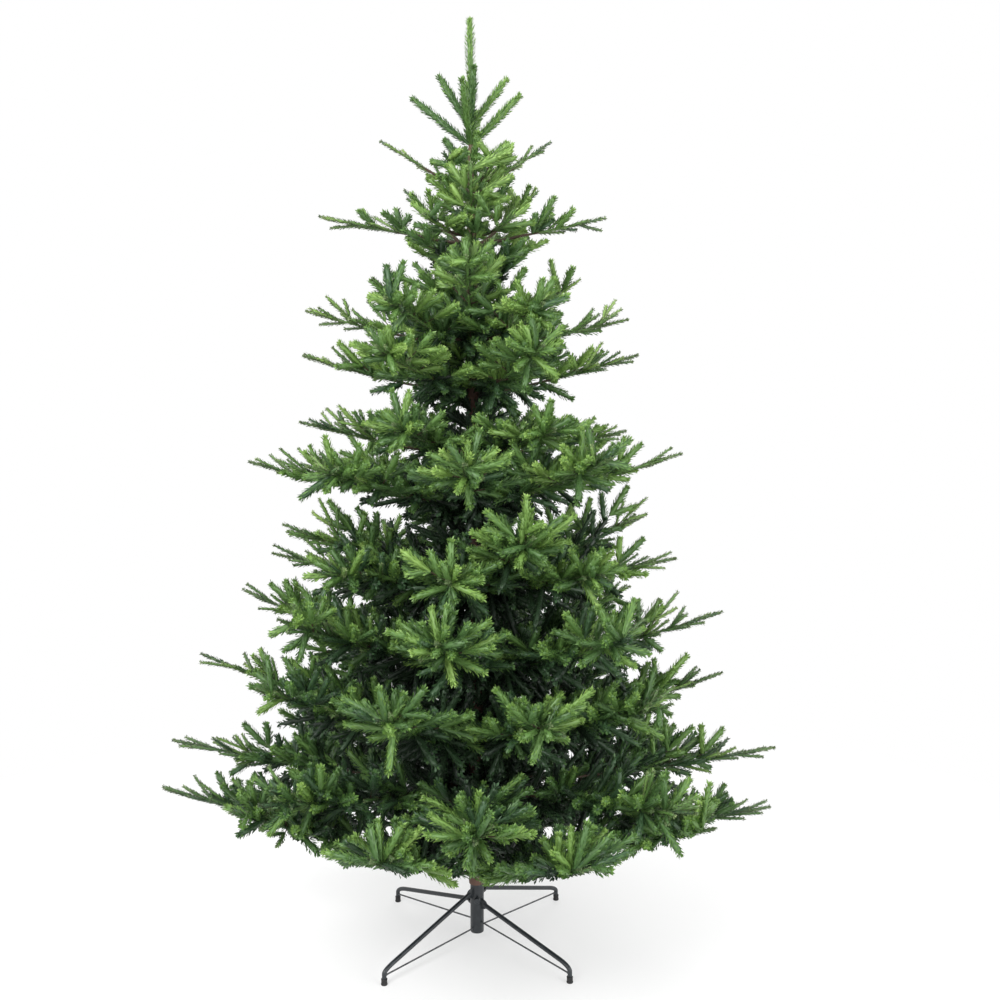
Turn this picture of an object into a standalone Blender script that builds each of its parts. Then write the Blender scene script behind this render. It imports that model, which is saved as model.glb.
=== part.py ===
"""Artificial Christmas tree, a layered spruce 2.1 m tall, on its four-legged metal stand.

Everything is in metres, +Z up. The origin lies on the floor, under the middle of the tree. The camera side
of the tree is -Y and its right side is +X. Azimuths are in degrees, from +X towards +Y.
"""

import math
import random
from collections import namedtuple

import bmesh
import bpy
from mathutils import Matrix, Vector
from mathutils.bvhtree import BVHTree

# The whole tree
TREE_HEIGHT = 2.10
TOP_LEAN = 0.013  # how far the tree's top stands left of its foot
CLEARANCE = 0.0003  # between touching pieces

# The stand
TUBE_RADIUS = 0.0158
TUBE_BORE_RADIUS = 0.0142
TUBE_FOOT_Z = 0.020
TUBE_TOP_Z = 0.136
TUBE_FLOOR = 0.003
TUBE_CHAMFER = 0.0015
LEG_RADIUS = 0.005
LEG_OUT = 0.283  # from the tube's axis to the middle of a foot
LEG_BEND_Z = 0.043  # height of a leg's straight run where its bend begins
LEG_UPRIGHT_Z = 0.024  # and where the bend ends, straight above the foot
LEG_BEND_OUT = 0.247
LEG_FOOT_Z = 0.0033
LEG_SIDES = 8
LEG_TAB = (0.016, 0.0034, 0.026)  # length, thickness and height of the welded tab
LEG_TAB_SLOPE = 0.45  # its outer end's height, as a share of the height at the tube
CAP_RADIUS = 0.0072
CAP_HEIGHT = 0.014
CAP_CHAMFER = 0.0012
CAP_SIDES = 12
STAY_RADIUS = 0.0018
STAY_SIDES = 6
STAY_SKEW = 0.0004  # each end's cut is square to the sloping rod, so its nearer edge stands this much closer
STAY_FOOT_Z = 0.0200
SCREW_Z = 0.103
SCREW_STEM_RADIUS = 0.0028
SCREW_STEM_LENGTH = 0.007
SCREW_HEAD_RADIUS = 0.0075
SCREW_HEAD_LENGTH = 0.006
ROUND_SIDES = 24

# Each pair of opposite legs: azimuth of one of them, height where it is welded to the tube, and height of its stay
LegPair = namedtuple("LegPair", "names azimuth weld_z stay_z")
LEG_PAIRS = (
    LegPair(("rear_right", "front_left"), 45.0, 0.116, 0.030),
    LegPair(("rear_left", "front_right"), 135.0, 0.090, 0.0455),
)

# The trunk is a pole in the stand's tube with a brown wrap above it: height and radius of each station
POLE_RADIUS = 0.0136
TRUNK_TOP_Z = 1.800
TRUNK_WRAP = ((0.70, 0.0170), (1.39, 0.0150), (1.60, 0.0123), (TRUNK_TOP_Z, 0.0072))
WRAP_FOOT_RADIUS = 0.0187
TRUNK_SIDES = 12

# One whorl of boughs. masses share the turn round the trunk, and each forks into some boughs. Tips reach left
# and right as far as stated, at tip_z, with the right ones higher by tilt and the left ones lower by it. front is
# the azimuth of the bough that comes nearest to the camera. lift bends a bough up towards its tip. upper is a
# shorter bough between the others, as (tip height, reach). Each bough has pairs of teeth and some side sprays, and
# spray is their length.
Whorl = namedtuple("Whorl", "root_z tip_z tilt left right front masses forks lift teeth sprays spray upper")
WHORLS = (
    Whorl(0.245, 0.340, -0.027, 0.722, 0.690, -72.0, 5, 2, 2.0, 3, 3, 0.200, None),
    Whorl(0.375, 0.467, -0.013, 0.698, 0.699, -90.0, 4, 2, 1.6, 3, 3, 0.190, None),
    Whorl(0.500, 0.657, -0.020, 0.640, 0.575, -74.0, 5, 2, 1.6, 3, 3, 0.185, None),
    Whorl(0.650, 0.803, -0.015, 0.575, 0.582, -98.0, 4, 2, 1.5, 3, 3, 0.180, None),
    Whorl(0.825, 0.905, 0.000, 0.495, 0.475, -97.0, 4, 2, 1.3, 3, 2, 0.165, (0.990, 0.430)),
    Whorl(1.020, 1.130, 0.010, 0.520, 0.480, -92.0, 4, 2, 1.4, 3, 3, 0.155, None),
    Whorl(1.130, 1.200, -0.010, 0.395, 0.355, -118.0, 2, 3, 1.3, 2, 2, 0.145, None),
    Whorl(1.270, 1.360, 0.000, 0.396, 0.382, -64.0, 3, 2, 1.3, 2, 3, 0.140, None),
    Whorl(1.375, 1.450, -0.010, 0.380, 0.356, -122.0, 3, 2, 1.3, 2, 2, 0.130, (1.540, 0.275)),
    Whorl(1.610, 1.667, 0.000, 0.341, 0.304, -120.0, 3, 2, 1.3, 2, 2, 0.120, (1.745, 0.180)),
    Whorl(1.710, 1.833, 0.000, 0.203, 0.180, -120.0, 2, 3, 1.0, 2, 1, 0.090, None),
)
SEED = 100
MARGIN = 0.003  # kept between a mass and the edge of its space
SHORTER = 0.88  # reach of the boughs that don't point straight to the sides, as a share of those that do
SHORT_AT_TOP = 0.60  # the same share in the two highest whorls
SHORTER_LIFT = 0.080  # and how much higher their tips stand in the lowest whorl
EVEN_REACH = 0.05  # the most that a bough falls short of its whorl's reach, as a share
LOW_SPACE_Z = -0.11  # the lowest whorl's space reaches this far below its boughs
TOP_SPACE_Z = 0.10

# The lowest whorl's boughs are bare as far as this from the trunk's axis
BARE_BOUGH = 0.170
BOUGH_ROOT_RADIUS = 0.0070
BOUGH_SIDES = 6

# Limbs inside the masses
STUB_LENGTH = 0.030
STUB_RADIUS = 0.0062
STUB_LEVEL = 0.004  # the stub leaves the trunk at a right angle over this length
STUB_LAP = 0.012  # and runs this far into the limbs
STUB_SIDES = 3
LIMB_ROOT_RADIUS = 0.0052
DIRECTION_STEP = 0.02  # a limb's direction is read over this share of its length each way
FORK_SHARE = 0.30  # a limb has swung to its own azimuth at this share of its length

# The dense foliage round a limb is a three-sided spindle with pairs of teeth that sweep forward. Sizes are shares
# of the room that the limb has there, from the first pair to the last
TOOTH_FIRST = 0.30
TOOTH_LAST = 0.64
TOOTH_NOTCH = 0.090  # from a pair of teeth to the notch after it, as a share of the limb's length
TOOTH_SWEEP = 0.070
TOOTH_WIDE = (0.90, 0.66)
TOOTH_HIGH = (0.86, 0.62)
TOOTH_UNEVEN = (0.70, 1.05)  # least and most of a tooth's full size
TOOTH_DROPS = (0.25, 1.0)  # how far a pair's two teeth hang, shared out at random
NOTCH_WIDE = 0.30
NOTCH_HIGH = 0.62
SPINDLE_START = 0.20
SPINDLE_MOST = (0.150, 0.115)  # the most half width and half height, as shares of the whorl's reach

# The spray that ends a limb: shares of the limb's length, then half width and height as shares of the side
# sprays' length
Tip = namedtuple("Tip", "share wide high")
TIP = (Tip(0.77, 0.050, 0.050), Tip(0.88, 0.150, 0.055), Tip(0.90, 0.060, 0.045), Tip(1.0, 0.012, 0.012))
SIDE_ANGLES = (66.0, 40.0)  # between a limb and its side sprays, at its root and at its tip
SIDE_ANGLE_UNEVEN = 8.0
SIDE_SHARES = (0.42, 0.84)  # the stretch of a limb that carries side sprays
SIDE_STAGGER = 0.04  # a spray on the left stands this share further out, and one on the right further in
SIDE_UNEVEN = 0.02
SIDE_LAST = 0.92
SIDE_LENGTHS = (1.05, 0.80)  # length of a side spray at a limb's root and tip, as shares of the whorl's spray
RAISED = (0.30, 0.75)  # rise of every second side spray over its length, least and most
LEVEL = (-0.20, 0.15)  # and of those between
ROLL = (0.25, 0.85)  # tilt of a spray about its rib, least and most
SPRAY_TRIES = (1.0, 0.85, 0.70, 0.55)  # shares of the full length that are tried where there is little room
SUNK = 0.014  # how far a spray's root lies under the surface that it stands out of

# Outlines of sprays on one side of the rib: distance along it and half width, as shares of the length
FAN_OUTLINE = ((0.72, 0.42), (0.60, 0.17))
SHOOT_OUTLINE = ((0.35, 0.095), (0.84, 0.115))
SPRAY_THICKNESS = 0.075

# The top of the tree: a leader, as height and radius of each station, with two rings of slim shoots
LEADER_FOOT = 0.9  # its radius on the trunk's end, as a share of the trunk's
LEADER = ((1.860, 0.0055), (1.905, 0.0100), (2.050, 0.0100), (TREE_HEIGHT, 0.0030))
LEADER_SIDES = 6
Ring = namedtuple("Ring", "root_z tip_z left right count")
TOP_RINGS = (Ring(1.828, 1.930, 0.141, 0.105, 6), Ring(1.868, 1.972, 0.080, 0.072, 4))

MATERIALS = {
    "black_paint": ((0.016, 0.019, 0.022), 0.38, 0.0),
    "black_rubber": ((0.010, 0.010, 0.010), 0.75, 0.0),
    "steel_rod": ((0.110, 0.115, 0.120), 0.40, 0.0),
    "brown_wrap": ((0.105, 0.062, 0.045), 0.80, 0.0),
    "needles_dark": ((0.030, 0.085, 0.022), 0.60, 0.0),
    "needles_light": ((0.070, 0.170, 0.035), 0.60, 0.0),
}


def clear_scene():
    """Leaves the scene with no objects."""
    for thing in list(bpy.data.objects):
        bpy.data.objects.remove(thing, do_unlink=True)


def material(name):
    """The named material, made when it is first asked for."""
    found = bpy.data.materials.get(name)
    if found:
        return found
    colour, roughness, metallic = MATERIALS[name]
    made = bpy.data.materials.new(name)
    made.use_nodes = True
    shader = made.node_tree.nodes["Principled BSDF"]
    shader.inputs["Base Color"].default_value = (*colour, 1.0)
    shader.inputs["Roughness"].default_value = roughness
    shader.inputs["Metallic"].default_value = metallic
    return made


def add_object(name, points, faces, material_name, smooth=False):
    """A mesh object from points and faces, with its faces turned outwards."""
    mesh = bpy.data.meshes.new(name)
    shape = bmesh.new()
    corners = [shape.verts.new(point) for point in points]
    for face in faces:
        shape.faces.new([corners[index] for index in face])
    bmesh.ops.recalc_face_normals(shape, faces=shape.faces)
    shape.to_mesh(mesh)
    shape.free()
    mesh.materials.append(material(material_name))
    if smooth:
        mesh.shade_smooth()
        mesh.set_sharp_from_angle(angle=math.radians(40))
    made = bpy.data.objects.new(name, mesh)
    bpy.context.scene.collection.objects.link(made)
    return made


def swept(points, radii, sides):
    """Points and faces of a closed tube along a line of points, with a radius at each."""
    points = [Vector(point) for point in points]
    last = len(points) - 1
    corners, faces = [], []
    across = None
    for index, point in enumerate(points):
        along = (points[min(index + 1, last)] - points[max(index - 1, 0)]).normalized()
        if across is None:
            across = along.orthogonal().normalized()
        across = (across - along * across.dot(along)).normalized()
        other = along.cross(across)
        for side in range(sides):
            angle = math.tau * side / sides
            corners.append(point + (across * math.cos(angle) + other * math.sin(angle)) * radii[index])
    for ring in range(last):
        for side in range(sides):
            after = (side + 1) % sides
            low, high = ring * sides, (ring + 1) * sides
            faces.append((low + side, low + after, high + after, high + side))
    faces.append(tuple(range(sides)))
    faces.append(tuple(range(last * sides, (last + 1) * sides)))
    return corners, faces


def turned(profile, sides, place):
    """Points and faces of a shape turned round Z from (radius, height) pairs that start and end on the axis."""
    corners, faces, rings = [], [], []
    for radius, height in profile:
        count = 1 if radius == 0 else sides
        rings.append(range(len(corners), len(corners) + count))
        for side in range(count):
            angle = math.tau * side / sides
            corners.append(place @ Vector((radius * math.cos(angle), radius * math.sin(angle), height)))
    for low, high in zip(rings, rings[1:]):
        for side in range(sides):
            after = (side + 1) % sides
            ends = [low[side % len(low)], low[after % len(low)], high[after % len(high)], high[side % len(high)]]
            faces.append(tuple(dict.fromkeys(ends)))
    return corners, faces


def outward(azimuth):
    """The level direction of an azimuth."""
    angle = math.radians(azimuth)
    return Vector((math.cos(angle), math.sin(angle), 0.0))


def trunk_axis(height):
    """The middle of the leaning trunk at a height."""
    return Vector((-TOP_LEAN * height / TREE_HEIGHT, 0.0, height))


def trunk_radius(height):
    """The wrapped trunk's radius at a height."""
    stations = ((TUBE_TOP_Z, WRAP_FOOT_RADIUS), *TRUNK_WRAP)
    for (low, wide), (high, slim) in zip(stations, stations[1:]):
        if height <= high:
            share = max(0.0, (height - low) / (high - low))
            return wide + (slim - wide) * share
    return stations[-1][1]


def build_tube():
    """The stand's tube: a cup that the pole stands in."""
    profile = (
        (0, TUBE_FOOT_Z),
        (TUBE_RADIUS - TUBE_CHAMFER, TUBE_FOOT_Z),
        (TUBE_RADIUS, TUBE_FOOT_Z + TUBE_CHAMFER),
        (TUBE_RADIUS, TUBE_TOP_Z),
        (TUBE_BORE_RADIUS, TUBE_TOP_Z),
        (TUBE_BORE_RADIUS, TUBE_FOOT_Z + TUBE_FLOOR),
        (0, TUBE_FOOT_Z + TUBE_FLOOR),
    )
    add_object("stand_tube", *turned(profile, ROUND_SIDES, Matrix()), "black_paint", smooth=True)


def leg_route(azimuth, weld_z):
    """A leg's middle line: straight from its tab, then round a bend and down to the floor."""
    start = Vector((TUBE_RADIUS + LEG_TAB[0] * 0.5, weld_z))
    knee = Vector((LEG_BEND_OUT, LEG_BEND_Z))
    corner = Vector((LEG_OUT, LEG_BEND_Z - (LEG_OUT - LEG_BEND_OUT) * (weld_z - LEG_BEND_Z) / LEG_BEND_OUT))
    below = Vector((LEG_OUT, LEG_UPRIGHT_Z))
    line = [start, start.lerp(knee, 0.5), knee]
    for step in (0.25, 0.5, 0.75, 1.0):  # a quadratic bend from knee, by the corner, to the upright
        line.append(knee.lerp(corner, step).lerp(corner.lerp(below, step), step))
    line.append(Vector((LEG_OUT, LEG_FOOT_Z)))
    side = outward(azimuth)
    return [side * point.x + Vector((0, 0, point.y)) for point in line]


def fuse(base, others):
    """Joins the other objects to base by one Boolean union, and removes them."""
    helpers = bpy.data.collections.new(base.name + "_joined")
    bpy.context.scene.collection.children.link(helpers)
    for other in others:
        bpy.context.scene.collection.objects.unlink(other)
        helpers.objects.link(other)
    union = base.modifiers.new("union", "BOOLEAN")
    union.operation = "UNION"
    union.solver = "MANIFOLD"
    union.operand_type = "COLLECTION"
    union.collection = helpers
    bpy.context.view_layer.update()
    graph = bpy.context.evaluated_depsgraph_get()
    joined = bpy.data.meshes.new_from_object(base.evaluated_get(graph))
    base.modifiers.clear()
    base.data = joined
    keep_largest_shell(joined)
    for other in others:
        bpy.data.objects.remove(other, do_unlink=True)
    bpy.data.collections.remove(helpers)


def keep_largest_shell(mesh):
    """Drops loose scraps and the walls of sealed hollows, so that one body with no hollow is left."""
    shape = bmesh.new()
    shape.from_mesh(mesh)
    bmesh.ops.dissolve_degenerate(shape, dist=1e-6, edges=shape.edges)
    bmesh.ops.triangulate(shape, faces=shape.faces)
    seen, shells = set(), []
    for face in shape.faces:
        if face in seen:
            continue
        shell, waiting = [], [face]
        seen.add(face)
        while waiting:
            current = waiting.pop()
            shell.append(current)
            for edge in current.edges:
                for near in edge.link_faces:
                    if near not in seen:
                        seen.add(near)
                        waiting.append(near)
        shells.append(shell)
    largest = max(shells, key=lambda shell: sum(face.calc_area() for face in shell))
    spare = [face for shell in shells if shell is not largest for face in shell]
    bmesh.ops.delete(shape, geom=spare, context="FACES")
    shape.to_mesh(mesh)
    shape.free()


def build_leg(name, azimuth, weld_z):
    """One leg with the flat tab that is welded to the tube."""
    route = leg_route(azimuth, weld_z)
    leg = add_object(f"stand_leg_{name}", *swept(route, [LEG_RADIUS] * len(route), LEG_SIDES), "black_paint", True)
    length, thickness, height = LEG_TAB
    inner = TUBE_RADIUS + CLEARANCE
    side, across = outward(azimuth), outward(azimuth + 90)
    corners = [
        side * along + across * (thickness / 2 * left) + Vector((0, 0, weld_z + height / 2 * up * slope))
        for along, slope in ((inner, 1.0), (inner + length, LEG_TAB_SLOPE))
        for left in (-1, 1)
        for up in (-1, 1)
    ]
    faces = ((0, 1, 3, 2), (4, 6, 7, 5), (0, 4, 5, 1), (2, 3, 7, 6), (0, 2, 6, 4), (1, 5, 7, 3))
    tab = add_object(leg.name + "_tab", corners, faces, "black_paint")
    fuse(leg, [tab])


def build_foot(name, azimuth):
    """A rubber cap over the leg's end. Its flat underside stands on the floor."""
    inside = (LEG_RADIUS + CLEARANCE) / math.cos(math.pi / CAP_SIDES)
    floor = LEG_FOOT_Z - CLEARANCE
    profile = (
        (0, 0),
        (CAP_RADIUS - CAP_CHAMFER, 0),
        (CAP_RADIUS, CAP_CHAMFER),
        (CAP_RADIUS - CAP_CHAMFER / 2, CAP_HEIGHT),
        (inside, CAP_HEIGHT),
        (inside, floor),
        (0, floor),
    )
    place = Matrix.Translation(outward(azimuth) * LEG_OUT)
    add_object(f"stand_foot_{name}", *turned(profile, CAP_SIDES, place), "black_rubber", smooth=True)


def build_stay(name, azimuth, stay_z):
    """The thin rod from the tube's lower end to the leg, just above its cap."""
    side = outward(azimuth)
    inner = side * (TUBE_RADIUS + CLEARANCE + STAY_SKEW) + Vector((0, 0, stay_z))
    outer = side * (LEG_OUT - LEG_RADIUS - CLEARANCE - STAY_SKEW) + Vector((0, 0, STAY_FOOT_Z))
    add_object(f"stand_stay_{name}", *swept((inner, outer), [STAY_RADIUS] * 2, STAY_SIDES), "steel_rod", True)


def build_thumb_screw():
    """The thumb screw on the front of the tube that clamps the pole."""
    stem_end = SCREW_STEM_LENGTH
    head_end = SCREW_STEM_LENGTH + SCREW_HEAD_LENGTH
    rim = SCREW_HEAD_LENGTH / 4
    profile = (
        (0, 0),
        (SCREW_STEM_RADIUS, 0),
        (SCREW_STEM_RADIUS, stem_end),
        (SCREW_HEAD_RADIUS - rim, stem_end),
        (SCREW_HEAD_RADIUS, stem_end + rim),
        (SCREW_HEAD_RADIUS, head_end - rim),
        (SCREW_HEAD_RADIUS - rim, head_end),
        (0, head_end),
    )
    place = Matrix.Translation((0, -(TUBE_RADIUS + CLEARANCE), SCREW_Z)) @ Matrix.Rotation(math.pi / 2, 4, "X")
    add_object("stand_thumb_screw", *turned(profile, ROUND_SIDES // 2, place), "black_paint", smooth=True)


def build_stand():
    """The tube, its screw, and four legs with their feet and stays."""
    build_tube()
    build_thumb_screw()
    for pair in LEG_PAIRS:
        for half, name in enumerate(pair.names):
            azimuth = pair.azimuth + 180 * half
            build_leg(name, azimuth, pair.weld_z)
            build_foot(name, azimuth)
            build_stay(name, azimuth, pair.stay_z)


def build_trunk():
    """The pole in the tube, and above the tube's rim the wider, tapering wrap."""
    foot = TUBE_FOOT_Z + TUBE_FLOOR + CLEARANCE
    wrap_foot = TUBE_TOP_Z + CLEARANCE
    heights = [foot, wrap_foot, wrap_foot, *(height for height, _ in TRUNK_WRAP)]
    radii = [POLE_RADIUS, POLE_RADIUS, WRAP_FOOT_RADIUS, *(radius for _, radius in TRUNK_WRAP)]
    corners, faces = [], []
    for index, (height, radius) in enumerate(zip(heights, radii)):
        middle = trunk_axis(height)
        if index < 2:  # the pole stands upright in the tube
            middle = Vector((0, 0, height))
        for side in range(TRUNK_SIDES):
            angle = math.tau * side / TRUNK_SIDES
            corners.append(middle + Vector((radius * math.cos(angle), radius * math.sin(angle), 0)))
    for ring in range(len(heights) - 1):
        for side in range(TRUNK_SIDES):
            after = (side + 1) % TRUNK_SIDES
            low, high = ring * TRUNK_SIDES, (ring + 1) * TRUNK_SIDES
            faces.append((low + side, low + after, high + after, high + side))
    faces.append(tuple(range(TRUNK_SIDES)))
    faces.append(tuple(range(len(corners) - TRUNK_SIDES, len(corners))))
    add_object("trunk", corners, faces, "brown_wrap", smooth=True)


def turned_away(azimuth):
    """How far a bough turns away from the two that point straight to the sides: 0 for those, 1 for most."""
    return min(1.0, 2 * abs(math.sin(math.radians(azimuth))))


def whorl_reach(whorl, azimuth, rng):
    """How far a bough at this azimuth reaches from the trunk's axis."""
    sideways = (whorl.left + whorl.right) / 2
    sideways += (whorl.right - whorl.left) / 2 * math.cos(math.radians(azimuth))
    away = turned_away(azimuth)
    shorter = SHORT_AT_TOP if whorl in WHORLS[-2:] else SHORTER
    return sideways * (1 - (1 - shorter) * away) * (1 - rng.random() * EVEN_REACH * away)


def tip_height(whorl, azimuth):
    """Height of the tip of a bough at this azimuth."""
    if whorl in WHORLS[-2:]:
        share = 1 - (1 - SHORT_AT_TOP) * turned_away(azimuth)
        return bough_height(whorl, share * (whorl.left + whorl.right) / 2)
    height = whorl.tip_z + whorl.tilt * math.cos(math.radians(azimuth))
    return height + (SHORTER_LIFT * turned_away(azimuth) if whorl is WHORLS[0] else 0.0)


def bough_height(whorl, distance):
    """Height of a whorl's boughs at a distance from the axis. It goes on straight past their tips."""
    rise = whorl.tip_z - whorl.root_z
    share = distance / ((whorl.left + whorl.right) / 2)
    if share <= 1:
        return whorl.root_z + rise * max(share, 0.0) ** whorl.lift
    return whorl.tip_z + rise * whorl.lift * (share - 1)


def border_height(index, distance):
    """Height of the border between the whorl with this index and the next, at a distance from the axis."""
    if index < 0:
        return bough_height(WHORLS[0], distance) + LOW_SPACE_Z
    if index == len(WHORLS) - 1:
        return bough_height(WHORLS[-1], distance) + TOP_SPACE_Z
    lower, upper = WHORLS[index], WHORLS[index + 1]
    low_top = bough_height(lower, distance)
    if lower.upper:
        low_top += (lower.upper[0] - lower.tip_z) * min(1.0, distance / lower.upper[1])
    if index == 0:
        low_top += SHORTER_LIFT * min(1.0, distance / lower.left)
    return (low_top + bough_height(upper, distance)) / 2


class Space:
    """The room of one mass: a slice of the turn round the trunk, between two borders and inside a reach."""

    def __init__(self, index, middle, width):
        self.index = index
        self.whorl = WHORLS[index]
        half = math.radians(width / 2)
        turn = math.radians(middle)
        self.walls = (
            Vector((math.cos(turn - half + math.pi / 2), math.sin(turn - half + math.pi / 2), 0)),
            Vector((math.cos(turn + half - math.pi / 2), math.sin(turn + half - math.pi / 2), 0)),
        )
        self.reach = max(self.whorl.left, self.whorl.right) + MARGIN

    def heights(self, distance):
        """Heights of the room's floor and ceiling at a distance from the axis."""
        return border_height(self.index - 1, distance) + MARGIN, border_height(self.index, distance) - MARGIN

    def holds(self, point):
        """True if the point lies inside, with the margin kept."""
        level = point - trunk_axis(point.z)
        level.z = 0
        distance = level.length
        if not trunk_radius(point.z) + MARGIN < distance < self.reach:
            return False
        low, high = self.heights(distance)
        return low < point.z < high and all(level.dot(wall) > MARGIN for wall in self.walls)

    def holds_all(self, corners):
        """True if the corners, and the points half way between neighbours, lie inside."""
        halves = [(first + second) / 2 for first, second in zip(corners, corners[1:])]
        return all(self.holds(point) for point in [*corners, *halves])


def spray_mesh(root, along, flat, length, side):
    """Corners and faces of a spray of needles: a toothed blade, thickest at its middle.

    along is its rib's direction, flat is near to its broad side's normal, and side is its outline on one side.
    """
    along = along.normalized()
    across = flat.cross(along).normalized()
    normal = along.cross(across)
    outline = [(0.0, 0.0), *side, (1.0, 0.0), *((share, -half) for share, half in reversed(side))]
    corners = [root + along * (share * length) + across * (half * length) for share, half in outline]
    middle = root + along * (0.5 * length)
    thick = normal * (SPRAY_THICKNESS * length / 2)
    top, under = len(corners), len(corners) + 1
    corners += [middle + thick, middle - thick]
    faces = []
    for index in range(len(outline)):
        after = (index + 1) % len(outline)
        faces.append((index, after, top))
        faces.append((after, index, under))
    return corners, faces


class Limb:
    """A bough inside its mass, from near the trunk to its tip."""

    def __init__(self, space, middle, azimuth, reach, start, tip_z):
        self.space = space
        self.whorl = space.whorl
        self.middle = middle
        self.azimuth = azimuth
        self.reach = reach
        self.start = start
        self.raised = tip_z - bough_height(self.whorl, reach)  # so much higher than the whorl's own line

    def point(self, share):
        """The point at a share of the limb's length."""
        swing = min(1.0, max(0.0, share) / FORK_SHARE)
        swing = swing * swing * (3 - 2 * swing)
        azimuth = self.middle + (self.azimuth - self.middle) * swing
        distance = self.start + (self.reach - self.start) * share
        height = bough_height(self.whorl, distance) + self.raised * share
        return trunk_axis(height) + outward(azimuth) * distance

    def directions(self, share):
        """Forward, sideways and upward directions at a share."""
        forward = (self.point(share + DIRECTION_STEP) - self.point(share - DIRECTION_STEP)).normalized()
        sideways = Vector((0, 0, 1)).cross(forward).normalized()
        return forward, sideways, forward.cross(sideways)

    def ring(self, share, widths, drops, up, sweep=0.0):
        """Three corners round the limb's middle line: right, left and top.

        widths and drops are how far the right and left corners stand out and hang down. Sweep moves them forward.
        """
        forward, sideways, upward = self.directions(share)
        middle = self.point(share)
        ahead = forward * (sweep * (self.reach - self.start))
        return [
            middle - sideways * widths[0] - upward * drops[0] + ahead,
            middle + sideways * widths[1] - upward * drops[1] + ahead,
            middle + upward * up + ahead / 2,
        ]

    def twig_ring(self, share, half, high):
        """A plain ring of the limb's twig."""
        return self.ring(share, (half, half), (high / 2, high / 2), high)

    def rings(self, slot, spray, teeth, rng):
        """The limb's rings of corners: its twig, the dense foliage round it, and the spray that ends it."""
        made = [self.twig_ring(share, LIMB_ROOT_RADIUS, LIMB_ROOT_RADIUS) for share in (0.0, SPINDLE_START)]
        widest, highest = (most * self.whorl.left for most in SPINDLE_MOST)
        for tooth in range(teeth):
            along = tooth / (teeth - 1)
            share = TOOTH_FIRST + (TOOTH_LAST - TOOTH_FIRST) * along
            distance = self.start + (self.reach - self.start) * share
            middle = self.point(share).z
            low, high = self.space.heights(distance)
            half = min(widest, distance * math.tan(math.radians(slot / 2)))
            half *= TOOTH_WIDE[0] + (TOOTH_WIDE[1] - TOOTH_WIDE[0]) * along
            tall = TOOTH_HIGH[0] + (TOOTH_HIGH[1] - TOOTH_HIGH[0]) * along
            up, down = min(highest, high - middle) * tall, min(highest, middle - low) * tall
            widths = [half * rng.uniform(*TOOTH_UNEVEN) for _ in range(2)]
            drops = [down * rng.uniform(*TOOTH_UNEVEN) * factor for factor in rng.sample(TOOTH_DROPS, 2)]
            made.append(self.ring(share, widths, drops, up * rng.uniform(*TOOTH_UNEVEN), TOOTH_SWEEP))
            if tooth < teeth - 1:
                notch = (half * NOTCH_WIDE, half * NOTCH_WIDE)
                made.append(self.ring(share + TOOTH_NOTCH, notch, (down / 2, down / 2), up * NOTCH_HIGH))
        for tip in TIP:
            made.append(self.twig_ring(tip.share, tip.wide * spray, tip.high * spray))
        return made

    def mesh(self, slot, spray, teeth, rng):
        """Corners and faces of the whole limb. slot is the turn that it has for itself, in degrees."""
        rings = self.rings(slot, spray, teeth, rng)
        corners = [corner for ring in rings for corner in ring]
        sides = len(rings[0])
        faces = [tuple(range(sides)), tuple(range(len(corners) - sides, len(corners)))]
        for ring in range(len(rings) - 1):
            for side in range(sides):
                after = (side + 1) % sides
                low, high = ring * sides, (ring + 1) * sides
                faces.append((low + side, low + after, high + after))
                faces.append((low + side, high + after, high + side))
        return corners, faces


def grow_limb(limb, slot, rng, teeth, sprays, others):
    """Corners and faces of a limb and its sprays. A spray that would leave the mass's space, or touch one of the
    other limbs or sprays, is tried shorter and then left out."""
    length = limb.whorl.spray
    grown = [limb.mesh(slot, length, teeth, rng)]
    body = BVHTree.FromPolygons(*grown[0])
    taken = list(others)
    first, last = SIDE_SHARES
    hand = rng.choice((-1, 1))
    for step in range(sprays):
        share = first + (last - first) * step / max(1, sprays - 1)
        hand = -hand
        made = grow_spray(limb, body, share, hand, rng, length, step % 2 == 0, taken)
        if made:
            grown.append(made)
            taken.append(BVHTree.FromPolygons(*made))
    return grown


def grow_spray(limb, body, share, hand, rng, spray, raised, taken):
    """One side spray of a limb, or None where it finds no room. hand is 1 for the limb's left and -1 for its right."""
    place = min(SIDE_LAST, share + SIDE_STAGGER * hand + rng.uniform(-SIDE_UNEVEN, SIDE_UNEVEN))
    forward, sideways, upward = limb.directions(place)
    angle = SIDE_ANGLES[0] + (SIDE_ANGLES[1] - SIDE_ANGLES[0]) * share
    angle = math.radians(angle + rng.uniform(-SIDE_ANGLE_UNEVEN, SIDE_ANGLE_UNEVEN))
    lift = rng.uniform(*(RAISED if raised else LEVEL))
    roll = rng.choice((-1, 1)) * rng.uniform(*ROLL)
    length = spray * (SIDE_LENGTHS[0] + (SIDE_LENGTHS[1] - SIDE_LENGTHS[0]) * share)
    for attempt, scale in enumerate(SPRAY_TRIES):
        kept = 1 - attempt / len(SPRAY_TRIES)
        along = forward * math.cos(angle) + sideways * (hand * math.sin(angle)) + upward * (lift * kept)
        along.normalize()
        surface = body.ray_cast(limb.point(place), along)[0] or limb.point(place)
        root = surface - along * SUNK
        made = spray_mesh(root, along, upward + sideways * (roll * kept), length * scale, FAN_OUTLINE)
        if not limb.space.holds_all(made[0][1:-2]):
            continue
        tree = BVHTree.FromPolygons(*made)
        if not any(tree.overlap(other) for other in taken):
            return made
    return None


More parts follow.
